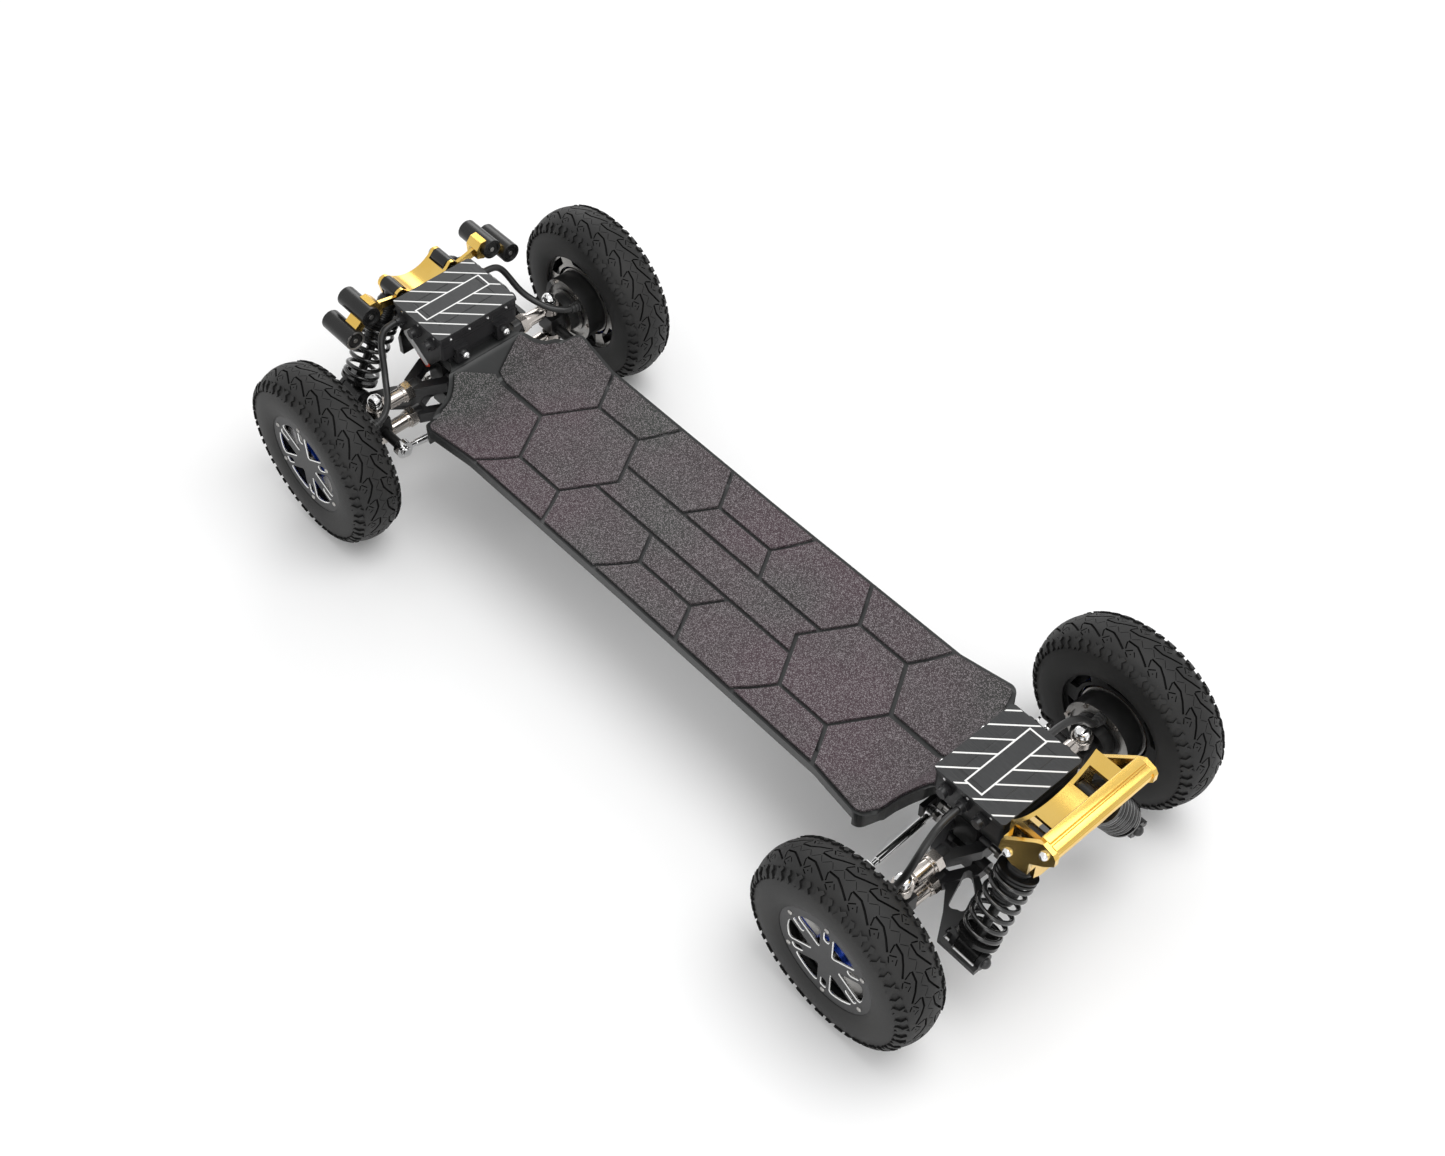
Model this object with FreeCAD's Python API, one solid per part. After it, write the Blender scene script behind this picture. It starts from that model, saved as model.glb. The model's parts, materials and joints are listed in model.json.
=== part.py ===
import FreeCAD, Part
import math
import os

from FreeCAD import Vector as V

# Electric all-terrain skateboard, double-wishbone suspension on all four wheels.
# Millimetres. +X is the front (headlight) end, +Y the left side, +Z up.
# The corner parts are drawn from the point on the floor midway between the axles. The bumper bar
# overhangs further than the headlights, so save() moves everything forward by CENTRE_SHIFT: the
# frame's origin is then the centre of the whole footprint.

# ---- driving dimensions -------------------------------------------------------------
TYRE_R = 127.0          # 10 inch tyre, outside radius over the tread
TYRE_HALF_W = 36.0
BEAD_R = 77.0           # 6 inch rim, bead seat
SPOKE_W = 20.0          # width of the hub cap's six spokes
AXLE_X = 486.0          # half the wheelbase
WHEEL_Y = 229.5         # tyre centre plane, half the track
KING_Y = 146.0          # kingpin axis
UPPER_Z = 150.0         # upper and lower ball joints
LOWER_Z = 102.0
ARM_LEN = 108.0         # arm hinge to ball joint, measured across the board
HINGE_RISE = 2.0        # arm hinges stand this much above their ball joints
HINGE_Y = KING_Y - ARM_LEN
RUN_FIT = 0.05          # radial clearance of a pin in its bore

SHOCK_X = 574.0
SHOCK_TOP = (41.0, 240.0)      # (y, z) of the upper eye
SHOCK_LOW = (126.0, 106.0)     # (y, z) of the lower eye
TIE_OUT = (432.0, 147.0, 118.0)
TIE_IN = (425.0, 32.0, 110.0)

DECK_TOP = 161.0
DECK_T = 14.0
PAD_T = 3.4
NECK_TOP = 198.0        # raised tongue that carries the truck and the box
TONGUE_X = (448.0, 550.0)
DECK_BOLT_X = (458.0, 540.0)
KINGPIN_R = 4.0
BOX_X = (442.0, 543.0)
BOX_HALF = 61.0
BOX_TOP = 247.0
LID_TOP = 251.3
GLAND_X = {1: (463.0, 495.0, 527.0), -1: (463.0, 489.0, 515.0)}     # front box, rear box
HEX_SIDE = 78.5         # side of the grip pattern's hexagons
GROOVE = 5.5

CENTRE_SHIFT = 5.5      # (rear overhang 624 - front overhang 613) / 2

CORNERS = {"fl": (1, 1), "fr": (1, -1), "rl": (-1, 1), "rr": (-1, -1)}
ENDS = {"front": 1, "rear": -1}


# ---- helpers --------------------------------------------------------------------------
def box(x0, x1, y0, y1, z0, z1):
    return Part.makeBox(x1 - x0, y1 - y0, z1 - z0, V(x0, y0, z0))


def rod(axis, a, b, r, a0, a1):
    """Cylinder along an axis; a and b are its two other coordinates, in X, Y, Z order."""
    base = {"x": V(a0, a, b), "y": V(a, a0, b), "z": V(a, b, a0)}[axis]
    way = {"x": V(1, 0, 0), "y": V(0, 1, 0), "z": V(0, 0, 1)}[axis]
    return Part.makeCylinder(r, a1 - a0, base, way)


def ring(axis, a, b, r_in, r_out, a0, a1):
    return rod(axis, a, b, r_out, a0, a1).cut(rod(axis, a, b, r_in, a0 - 1, a1 + 1))


def prism(points, axis, a0, a1):
    """Polygon given in the two other coordinates (X, Y, Z order), extruded along an axis."""
    put = {"x": lambda p: V(a0, p[0], p[1]),
           "y": lambda p: V(p[0], a0, p[1]),
           "z": lambda p: V(p[0], p[1], a0)}[axis]
    way = {"x": V(1, 0, 0), "y": V(0, 1, 0), "z": V(0, 0, 1)}[axis]
    pts = [put(p) for p in points]
    face = Part.Face(Part.makePolygon(pts + pts[:1]))
    return face.extrude(way * (a1 - a0))


def hexagon(axis, a, b, across, a0, a1):
    r = across / math.sqrt(3)
    pts = [(a + r * math.cos(math.radians(60 * i)), b + r * math.sin(math.radians(60 * i)))
           for i in range(6)]
    return prism(pts, axis, a0, a1)


def outline(start, steps):
    """Closed wire in the XY plane: a step is (x, y) for a line or (via, end) for an arc."""
    edges, at = [], V(start[0], start[1], 0)
    for step in steps:
        if isinstance(step[0], tuple):
            via, end = V(step[0][0], step[0][1], 0), V(step[1][0], step[1][1], 0)
            edges.append(Part.Arc(at, via, end).toShape())
        else:
            end = V(step[0], step[1], 0)
            edges.append(Part.LineSegment(at, end).toShape())
        at = end
    return Part.Wire(edges)


def fuse(first, *rest):
    return first.multiFuse(list(rest)).removeSplitter()


def soften(shape, r, pick):
    """Fillet the edges that pick accepts, one try; the sharp shape stays if it fails."""
    edges = [e for e in shape.Edges if pick(e)]
    try:
        done = shape.makeFillet(r, edges)
        return done if done.isValid() and done.Volume > 0 else shape
    except Exception:
        return shape


def upright_edge(e):
    a, b = e.Vertexes[0].Point, e.Vertexes[-1].Point
    return abs(a.x - b.x) < 1e-6 and abs(a.y - b.y) < 1e-6 and abs(a.z - b.z) > 1e-6


def flip(shape, sx=1, sy=1):
    """Carry a shape of the front left corner to another corner of the board."""
    if sx < 0:
        shape = shape.mirror(V(0, 0, 0), V(1, 0, 0))
    if sy < 0:
        shape = shape.mirror(V(0, 0, 0), V(0, 1, 0))
    return shape


def both_sides(shape):
    return [shape, flip(shape, 1, -1)]


def save(name, shapes):
    solids = [s for shape in shapes for s in shape.Solids]
    bad = [s for s in solids if not s.isValid() or s.Volume <= 0]
    if bad:
        print("CHECK", name, "has", len(bad), "bad solids")
    whole = solids[0].copy() if len(solids) == 1 else Part.makeCompound(solids)
    whole.translate(V(CENTRE_SHIFT, 0, 0))
    whole.exportStep("parts/%s.step" % name)
    print("%-20s %3d solids  %9.1f cm3" % (name, len(solids), sum(s.Volume for s in solids) / 1e3))


# ---- deck ---------------------------------------------------------------------------------
def quarter_plan(inset=0.0, tip=TONGUE_X[1]):
    """Front left quarter of the deck's plan, as a tall prism."""
    k = inset
    steps = [(tip, 0), (tip, 48 - k), (449, 48 - k), ((440 - 0.6 * k, 51 - 0.8 * k), (433 - k, 61 - k)),
             ((419 - k, 77 - k), (413 - k, 98 - k)), (404 - k, 119 - 0.6 * k),
             ((398.5 - 0.8 * k, 127 - 0.8 * k), (388 - 0.5 * k, 129.5 - k)),
             ((352, 124.3 - k), (318, 119.5 - k)), (0, 118 - k), (0, 0)]
    return Part.Face(outline((0, 0), steps)).extrude(V(0, 0, 300))


def plan(inset=0.0, tip=TONGUE_X[1]):
    q = quarter_plan(inset, tip)
    return fuse(q, flip(q, -1, 1), flip(q, 1, -1), flip(q, -1, -1))


def middle_slab(low, high, reach=412.0):
    """Dished middle of the deck between two heights above the flat deck top."""
    def side(h):
        z = DECK_TOP + h
        return [V(-reach, s * y, z + dz) for s, y, dz in
                ((-1, 134, 14), (-1, 101, 3.4), (-1, 68, 0), (1, 68, 0), (1, 101, 3.4), (1, 134, 14))]
    a, b = side(low), side(high)
    edges = [Part.Arc(a[0], a[1], a[2]).toShape(), Part.LineSegment(a[2], a[3]).toShape(),
             Part.Arc(a[3], a[4], a[5]).toShape(), Part.LineSegment(a[5], b[5]).toShape(),
             Part.Arc(b[5], b[4], b[3]).toShape(), Part.LineSegment(b[3], b[2]).toShape(),
             Part.Arc(b[2], b[1], b[0]).toShape(), Part.LineSegment(b[0], a[0]).toShape()]
    return Part.Face(Part.Wire(edges)).extrude(V(2 * reach, 0, 0))


def ramp(low, high, end=TONGUE_X[1]):
    """Front end of the deck, rising from the flat to the raised tongue."""
    slope = math.atan2(19.5, 16.0)
    nx, nz = -math.sin(slope), math.cos(slope)

    def line(h):
        top = DECK_TOP + h
        return [V(390, 0, top), V(396, 0, top), V(404 + 0.4 * nx * h, 0, 163.6 + h * 0.93),
                V(411 + nx * h, 0, 171 + nz * h), V(427 + nx * h, 0, 190.5 + nz * h),
                V(434.5 + 0.4 * nx * h, 0, 196.4 + h * 0.93), V(445, 0, NECK_TOP + h), V(end, 0, NECK_TOP + h)]
    a, b = line(low), line(high)
    edges = []
    for p, way in ((a, 1), (b, -1)):
        seg = [Part.LineSegment(p[0], p[1]), Part.Arc(p[1], p[2], p[3]), Part.LineSegment(p[3], p[4]),
               Part.Arc(p[4], p[5], p[6]), Part.LineSegment(p[6], p[7])]
        edges += [s.toShape() for s in seg]
    edges += [Part.LineSegment(a[0], b[0]).toShape(), Part.LineSegment(a[7], b[7]).toShape()]
    wire = Part.Wire(Part.__sortEdges__(edges))
    body = Part.Face(wire).extrude(V(0, 280, 0))
    body.translate(V(0, -140, 0))
    return body


def make_deck():
    ends = ramp(-DECK_T, 0)
    slab = fuse(middle_slab(-DECK_T, 0), ends, flip(ends, -1, 1))
    holes = [rod("z", sx * x, y, 3.0, 170, 210) for x in DECK_BOLT_X for y in (-36, 36) for sx in (1, -1)]
    return [slab.common(plan()).cut(holes)]


def groove(x0, y0, x1, y1, width=GROOVE):
    run = math.hypot(x1 - x0, y1 - y0)
    cut = box(-width * 0.3, run + width * 0.3, -width / 2, width / 2, 100, 290)
    cut.rotate(V(0, 0, 0), V(0, 0, 1), math.degrees(math.atan2(y1 - y0, x1 - x0)))
    cut.translate(V(x0, y0, 0))
    return cut


def grip_grooves():
    """Hexagon pattern, given for one quarter and turned to the other three."""
    s = HEX_SIDE
    h = s * math.sqrt(3) / 2 * 0.965          # the hexagons are pressed a little flat
    big = 243.0                               # centre of the big hexagon on the midline
    side = big - 1.5 * s                      # centre of the hexagons beside it
    runs = [(big + s, 0, big + s / 2, h), (big + s / 2, h, big - s / 2, h), (big - s / 2, h, big - s, 0),
            (big + s / 2, h, big + s, 2 * h), (big - s / 2, h, big - s, 2 * h),
            (side - s / 2 - s / 2, h, side - s / 2, 2 * h), (0, h, side - s, h),
            (side - s, h, side - s + 0.6 * s / 2, 0.4 * h), (0, 25, big - 0.86 * s, 25)]
    cuts = []
    for x0, y0, x1, y1 in runs:
        for sx in (1, -1):
            for sy in (1, -1):
                cuts.append(groove(sx * x0, sy * y0, sx * x1, sy * y1))
    for sx in (1, -1):
        cuts.append(groove(sx * (big + s), 0, sx * 470, 0, 8.0))
    return cuts


def make_grip_pads():
    ends = ramp(0, PAD_T)
    skin = fuse(middle_slab(0, PAD_T, 403.0), ends, flip(ends, -1, 1))
    skin = skin.common(plan(5.0, 435.5))
    skin = skin.cut(fuse(middle_slab(-DECK_T, 0), ramp(-DECK_T, 0), flip(ramp(-DECK_T, 0), -1, 1)))
    bare = prism([(409, 0), (440, 78), (600, 78), (600, -78), (440, -78)], "z", 100, 290)
    pads = skin.cut([bare] + grip_grooves())
    return [s for s in pads.Solids if s.Volume > 400]


# ---- boxes and what they hold -----------------------------------------------------------------
def make_box(sx):
    """Open-topped housing with a narrow foot on the tongue, and two clamp blocks at the deck side."""
    x0, x1 = BOX_X
    body = fuse(box(x0, x1, -BOX_HALF, BOX_HALF, 213, BOX_TOP), box(x0 + 6, x1 - 3, -47, 47, NECK_TOP, 213))
    body = soften(body, 5.0, lambda e: upright_edge(e) and e.BoundBox.ZMax > 230)
    body = body.cut(box(x0 + 4, x1 - 4, -BOX_HALF + 4, BOX_HALF - 4, 217, BOX_TOP + 1))
    ports = [rod("y", x, 231, 5.0, BOX_HALF - 6, BOX_HALF + 1) for x in GLAND_X[sx]]
    body = body.cut(ports + [flip(p, 1, -1) for p in ports])
    out = [body]
    for side in (1, -1):
        y = 33 * side
        block = fuse(box(436, 442, y - 10, y + 10, 202, 226), box(436, 448, y - 10, y + 10, 202, 208))
        out.append(block.cut(box(441.9, 449, y - 11, y + 11, 207, 227)).cut(body))
        head = Part.makeSphere(5.5, V(436, y, 216)).common(box(430, 436, y - 6, y + 6, 208, 224))
        out.append(head)
    return [flip(s, sx) for s in out]


def make_lid(sx):
    x0, x1 = BOX_X
    lid = box(x0 - 1, x1 + 1, -63, 63, BOX_TOP, LID_TOP)
    lid = soften(lid, 5.0, upright_edge)
    lid = lid.cut(box(x0 + 21, x1 - 21, -46, 46, LID_TOP - 0.6, LID_TOP + 1)
                  .cut(box(x0 + 23, x1 - 23, -44, 44, LID_TOP - 2, LID_TOP + 2)))
    return [flip(lid, sx)]


def make_electronics():
    """Battery pack in the front box, motor controller in the rear one."""
    x0, x1 = BOX_X
    pack = soften(box(x0 + 10, x1 - 10, -44, 44, 217, 241), 3.0, upright_edge)
    board = box(x0 + 10, x1 - 10, -44, 44, 217, 223)
    caps = [rod("z", 470 + 18 * i, 22, 6, 223, 240) for i in range(3)]
    sink = box(x0 + 14, x1 - 14, -40, -4, 223, 236)
    return [pack] + [flip(s, -1) for s in [board, sink] + caps]


def make_fasteners():
    """Arm hinge pins, tie rod pins, shock bolts and deck bolts, all held in the chassis."""
    out = []
    for z in (LOWER_Z + HINGE_RISE, UPPER_Z + HINGE_RISE):
        for sy in (1, -1):
            y = sy * HINGE_Y
            out += [rod("x", y, z, 4.0, 446, 526), hexagon("x", y, z, 12, 440, 446),
                    hexagon("x", y, z, 12, 526, 532)]
    for sy in (1, -1):
        y, z = sy * TIE_IN[1], TIE_IN[2]
        out += [rod("x", y, z, 4.0, 412, 431), hexagon("x", y, z, 11, 431, 436)]
        y, z = sy * SHOCK_TOP[0], SHOCK_TOP[1]
        out += [rod("x", y, z, 4.0, SHOCK_X - 20.5, SHOCK_X + 20.5),
                Part.makeSphere(7, V(SHOCK_X + 20.5, y, z)).common(
                    box(SHOCK_X + 20.5, SHOCK_X + 30, y - 9, y + 9, z - 9, z + 9))]
    for x in DECK_BOLT_X:
        for y in (-36, 36):
            out.append(rod("z", x, y, 3.0, 176, NECK_TOP))
            out.append(hexagon("z", x, y, 9, 170, 176))
    return [flip(s, sx) for sx in (1, -1) for s in out]


# ---- truck ----------------------------------------------------------------------------------
def make_bulkhead(sx):
    """Truck frame under the tongue: spine between the arms, tie rod bracket, tower backing plate."""
    low, up = LOWER_Z + HINGE_RISE, UPPER_Z + HINGE_RISE
    spine = box(470, 502, -48, 48, low - 12, 176)
    spine = spine.cut(rod("x", 0, (low + up) / 2, 24, 460, 510))
    body = fuse(spine, box(*TONGUE_X, -46, 46, 176, 184),
                box(502, 545.5, -22, 22, 146, 176), box(415, 470, -18, 18, 98, 122),
                box(412, 418.5, -41, 41, 99, 121), box(545.5, 553.5, -58, 58, 150, 184),
                prism([(-58, 184), (58, 184), (58, 226), (40, 236), (-40, 236), (-58, 226)], "x",
                      TONGUE_X[1], 553.5))
    cuts = [rod("x", s * HINGE_Y, z, 4.0, 460, 512) for s in (1, -1) for z in (low, up)]
    cuts += [rod("x", s * TIE_IN[1], TIE_IN[2], 4.0, 410, 421) for s in (1, -1)]
    cuts += both_sides(shock_space(29.0, 30, 140))
    cuts += [rod("z", x, y, 3.0, 170, 190) for x in DECK_BOLT_X for y in (-36, 36)]
    for s in (1, -1):                      # the arms' inner eyes stand just outside the spine
        cuts.append(prism([(s * 60, 128 + 9), (s * 60, 128 - 9), (s * 32, 128 - 5), (s * 32, 128 + 5)],
                          "x", 460, 512))
    return [flip(body.cut(cuts), sx)]


SADDLE_R = 87.0
SADDLE_LOW = 250.0


def saddle_top(y):
    return SADDLE_LOW + SADDLE_R - math.sqrt(SADDLE_R ** 2 - y * y)


def curved_plate(x0, x1, half, z_low, below=None):
    """Upright plate with the dished top edge; below gives a thin skin instead of a full plate."""
    end, zc = saddle_top(half), SADDLE_LOW
    if below is None:
        edges = [Part.Arc(V(x0, -half, end), V(x0, 0, zc), V(x0, half, end)).toShape(),
                 Part.LineSegment(V(x0, half, end), V(x0, half, z_low)).toShape(),
                 Part.LineSegment(V(x0, half, z_low), V(x0, -half, z_low)).toShape(),
                 Part.LineSegment(V(x0, -half, z_low), V(x0, -half, end)).toShape()]
    else:
        edges = [Part.Arc(V(x0, -half, end), V(x0, 0, zc), V(x0, half, end)).toShape(),
                 Part.LineSegment(V(x0, half, end), V(x0, half, end - below)).toShape(),
                 Part.Arc(V(x0, half, end - below), V(x0, 0, zc - below), V(x0, -half, end - below)).toShape(),
                 Part.LineSegment(V(x0, -half, end - below), V(x0, -half, end)).toShape()]
    return Part.Face(Part.Wire(edges)).extrude(V(x1 - x0, 0, 0))


def shock_space(r, s0, s1):
    """Room for the shock: a cylinder along its axis, s0 to s1 below the upper eye."""
    top = V(SHOCK_X, *SHOCK_TOP)
    way = (V(SHOCK_X, *SHOCK_LOW) - top).normalize()
    return Part.makeCylinder(r, s1 - s0, top + way * s0, way)


def tower_cuts(roller_low):
    """Room for both shocks and their eyes between the tower's two plates, and the bolt holes."""
    near, far = SHOCK_X - 15.5, SHOCK_X + 15.5
    inner = shock_space(17.5, 8, 60).common(box(near, far, 0, 200, 0, 400))
    cuts = both_sides(inner) + both_sides(shock_space(30.0, 36, 120))
    for s in (1, -1):
        y = s * SHOCK_TOP[0]
        cuts.append(box(near, far, y - 12, y + 12, roller_low, 290))
        cuts.append(rod("x", y, SHOCK_TOP[1], 4.0, near - 6, far + 6))
    return cuts


def make_rear_tower():
    """Wide dished bracket that holds the upper shock eyes between two plates."""
    near, far = (SHOCK_X - 20.5, SHOCK_X - 15.5), (SHOCK_X + 15.5, SHOCK_X + 20.5)
    plates = [curved_plate(near[0], near[1], 66.0, 205), curved_plate(far[0], far[1], 66.0, 205)]
    body = fuse(plates[0], plates[1], curved_plate(near[0], far[1], 66.0, 205, 5.0))
    body = body.cut(tower_cuts(236) + [box(near[0] - 1, far[1] + 1, -30, 30, 190, 222)])
    return [flip(max(body.Solids, key=lambda s: s.Volume), -1)]


def fork_plate(x0, x1):
    """Upright plate of the front tower: a low dish between two round ears."""
    low, dish = FORK_LOW, 14.0
    r = (34.0 ** 2 + dish ** 2) / (2 * dish)
    web = prism([(-34, low + dish), (-51, 240), (-44, 205), (44, 205), (51, 240), (34, low + dish)], "x", x0, x1)
    ears = [rod("x", s * SHOCK_TOP[0], SHOCK_TOP[1], 10.0, x0, x1) for s in (1, -1)]
    return fuse(web, *ears).cut(rod("x", 0, low + r, r, x0 - 1, x1 + 1))


def make_front_tower():
    """Low dished bracket with an open fork round each upper shock eye, and the headlight clamps."""
    near, far = (SHOCK_X - 20.5, SHOCK_X - 15.5), (SHOCK_X + 15.5, SHOCK_X + 20.5)
    dish = 14.0
    r = (34.0 ** 2 + dish ** 2) / (2 * dish)
    skin = ring("x", 0, FORK_LOW + r, r, r + 5.0, near[0], far[1])
    skin = skin.common(box(near[0], far[1], -29, 29, FORK_LOW - 6, FORK_LOW + dish))
    body = fuse(fork_plate(*near), fork_plate(*far), skin)
    body = body.cut(tower_cuts(227) + [box(near[0] - 1, far[1] + 1, -26, 26, 190, 218)])
    body = max(body.Solids, key=lambda s: s.Volume)
    (ya, za), (yb, zb) = LIGHTS
    run = math.hypot(yb - ya, zb - za)
    uy, uz = (yb - ya) / run, (zb - za) / run

    def beside(along, across):
        return ((ya + yb) / 2 + along * uy - across * uz, (za + zb) / 2 + along * uz + across * uy)
    arm = fuse(prism([(47, 234), (50, 243.5), (78, 250), (84, 250), (84, 241), (78, 238)], "x", *near),
               prism([(78, 238), (78, 252), (86, 261), (95, 261), (95, 236), (88, 234)], "x", 546, 569))
    link = prism([beside(-12, -6), beside(12, -6), beside(12, 6), beside(-12, 6)], "x", 546, 569)
    tubes = [rod("x", y, z, LIGHT_R, 500, 620) for y, z in LIGHTS]
    arm = max(arm.cut(tubes).Solids, key=lambda s: s.Volume)
    link = max(link.cut(tubes).Solids, key=lambda s: s.Volume)
    arms = [arm.cut(body), flip(arm, 1, -1).cut(body)]
    return [body] + arms + both_sides(link)


FORK_LOW = 231.0
LIGHT_R = 14.0
LIGHT_X = (540.0, 597.0)
LIGHTS = ((99.0, 246.5), (128.0, 223.0))


def make_headlights():
    out = []
    for y, z in LIGHTS:
        tube = rod("x", y, z, LIGHT_R, *LIGHT_X).cut(rod("x", y, z, 11.5, LIGHT_X[1] - 8, LIGHT_X[1] + 1))
        tube = tube.cut(ring("x", y, z, 3.5, 10.5, LIGHT_X[0] - 1, LIGHT_X[0] + 2.5))
        lens = rod("x", y, z, 11.5, LIGHT_X[1] - 4, LIGHT_X[1] - 2)
        out += [tube, lens]
    return [s for o in out for s in both_sides(o)]


BAR_X = (598.0, 622.0)
BAR_Z = (285.0, 308.5)


def make_end_plates():
    """Side plates of the rear tower that carry the bumper bar."""
    shape = [(553.5, 241), (555.5, 259), (596, 300), (606, 307.5), (620, 303), (624, 297), (624, 286),
             (612, 272), (594.5, 257), (594.5, 236), (574, 231)]
    plate = prism(shape, "y", 74, 80)
    bolts = [Part.makeSphere(5.8, V(x, 80, z)).common(box(x - 7, x + 7, 80, 90, z - 7, z + 7))
             for x, z in ((610, 292), (566, 246))]
    web = [box(x0, x1, 66, 74, 236, 256) for x0, x1 in
           ((SHOCK_X - 20.5, SHOCK_X - 15.5), (SHOCK_X + 15.5, SHOCK_X + 20.5))]
    return [flip(s, -1, sy) for sy in (1, -1) for s in [plate] + bolts + web]


def make_bumper():
    """Grooved bar between the end plates."""
    x0, x1, z0, z1 = *BAR_X, *BAR_Z
    shape = [(x0, z0), (x1 - 5, z0), (x1, z0 + 5), (x1, z1 - 11), (x1 - 1.5, z1 - 10), (x1 - 1.5, z1 - 8),
             (x1, z1 - 7), (x1 - 3, z1 - 4), (x1 - 9, z1 - 2), (x1 - 10, z1 - 3.2), (x1 - 12, z1 - 2.8),
             (x1 - 12.5, z1 - 0.8), (x0 + 2, z1), (x0, z1 - 2)]
    bar = prism(shape, "y", -74, 74)
    return [flip(bar, -1)]


# ---- one corner, drawn at the front left --------------------------------------------------------
def rod_end(y0, z, outer=13.0, nut=24.0):
    """Polished rod end: hex nut against the arm, sleeve, and an eye round the ball."""
    eye = rod("z", AXLE_X, KING_Y, outer, z - 5.5, z + 5.5)
    sleeve = rod("y", AXLE_X, z, 10.0, y0 + 10, KING_Y - 16)
    neck = rod("y", AXLE_X, z, 6.5, KING_Y - 20, KING_Y - 8)
    collar = rod("y", AXLE_X, z, 11.5, y0 + 10, y0 + 14)
    end = fuse(hexagon("y", AXLE_X, z, nut, y0, y0 + 10), collar, sleeve, eye, neck)
    return end.cut(Part.makeSphere(8.85, V(AXLE_X, KING_Y, z)))


def wishbone(z):
    """A-shaped arm: two hinge eyes beside the spine, one stub towards the wheel."""
    y0, zh, zb = HINGE_Y, z + HINGE_RISE, z
    shape = [(AXLE_X - 31, y0), (AXLE_X - 31, 53), (AXLE_X - 12, 91), (AXLE_X + 12, 91), (AXLE_X + 31, 53),
             (AXLE_X + 31, y0), (AXLE_X + 17, y0), (AXLE_X + 17, 52), (AXLE_X + 6, 74), (AXLE_X - 6, 74),
             (AXLE_X - 17, 52), (AXLE_X - 17, y0)]
    legs = prism(shape, "z", zb - 7, zb + 9)
    eyes = [rod("x", y0, zh, 10.0, AXLE_X + s, AXLE_X + s + 14) for s in (-31, 17)]
    arm = fuse(legs, *eyes, rod("y", AXLE_X, zb, 11.5, 80, 92))
    return arm.cut([rod("x", y0, zh, 4.0 + RUN_FIT, AXLE_X - 40, AXLE_X + 40)])


def make_upper_arm():
    return [wishbone(UPPER_Z), rod_end(92, UPPER_Z)]


def make_lower_arm():
    """Lower wishbone with the plate that reaches out to the shock's lower eye."""
    y, z = SHOCK_LOW
    ears = ((SHOCK_X - 22, SHOCK_X - 16), (SHOCK_X + 16, SHOCK_X + 22))
    shape = [(AXLE_X + 8, 80), (AXLE_X + 17, 91), (521, 113), (541, 143), (SHOCK_X + 22, 143), (SHOCK_X + 22, 116),
             (SHOCK_X - 16, 112), (546, 84), (532, 60), (AXLE_X + 31, 51), (AXLE_X + 20, 51)]
    plate = prism(shape, "z", LOWER_Z - 3, LOWER_Z + 4)
    hole = Part.Face(outline((505, 60), [((508, 56), (513, 57)), (527, 68), ((530, 73), (531, 79)), (536, 92),
                                         ((536, 97), (531, 100)), (527, 103), ((522, 104), (518, 100)),
                                         (506, 67), ((504.5, 63.5), (505, 60))])).extrude(V(0, 0, 60))
    hole.translate(V(0, 0, LOWER_Z - 30))
    knees = [rod("x", y, z, 11.0, a, b) for a, b in ears]
    body = fuse(wishbone(LOWER_Z), plate, *knees)
    body = body.cut([hole, box(ears[0][1], ears[1][0], y - 18, y + 13, 60, 140), rod("x", y, z, 4.0, 540, 610),
                     box(ears[0][0] - 9, ears[0][0], y - 10, y + 10, 60, 140)])
    bolt = rod("x", y, z, 4.0, ears[0][0] - 2, ears[1][1] + 1)
    head = Part.makeSphere(7, V(ears[1][1], y, z)).common(rod("x", y, z, 9, ears[1][1], ears[1][1] + 9))
    nut = hexagon("x", y, z, 13, ears[0][0] - 7, ears[0][0])
    return [body, rod_end(92, LOWER_Z), fuse(bolt, head, nut)]


def make_kingpin():
    """Bolt through both ball joints, with its balls, dome head and lock nut."""
    bolt = rod("z", AXLE_X, KING_Y, KINGPIN_R, LOWER_Z - 18, UPPER_Z + 12)
    head = Part.makeSphere(9.5, V(AXLE_X, KING_Y, UPPER_Z + 8.5)).common(
        rod("z", AXLE_X, KING_Y, 12, UPPER_Z + 8.5, UPPER_Z + 30))
    nut = hexagon("z", AXLE_X, KING_Y, 13, LOWER_Z - 15.5, LOWER_Z - 8.5)
    out = [fuse(bolt, head, nut)]
    for z in (UPPER_Z, LOWER_Z):
        ball = Part.makeSphere(8.5, V(AXLE_X, KING_Y, z)).common(
            rod("z", AXLE_X, KING_Y, 12, z - 7, z + 7))
        ball = fuse(ball, rod("z", AXLE_X, KING_Y, KINGPIN_R + 1.3, z - 8.5, z + 8.5))
        out.append(ball.cut(rod("z", AXLE_X, KING_Y, KINGPIN_R, z - 20, z + 20)))
    return out


DRUM = (176.0, 205.5)
STATOR_END = 243.0
AXLE_END = 258.0


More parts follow.
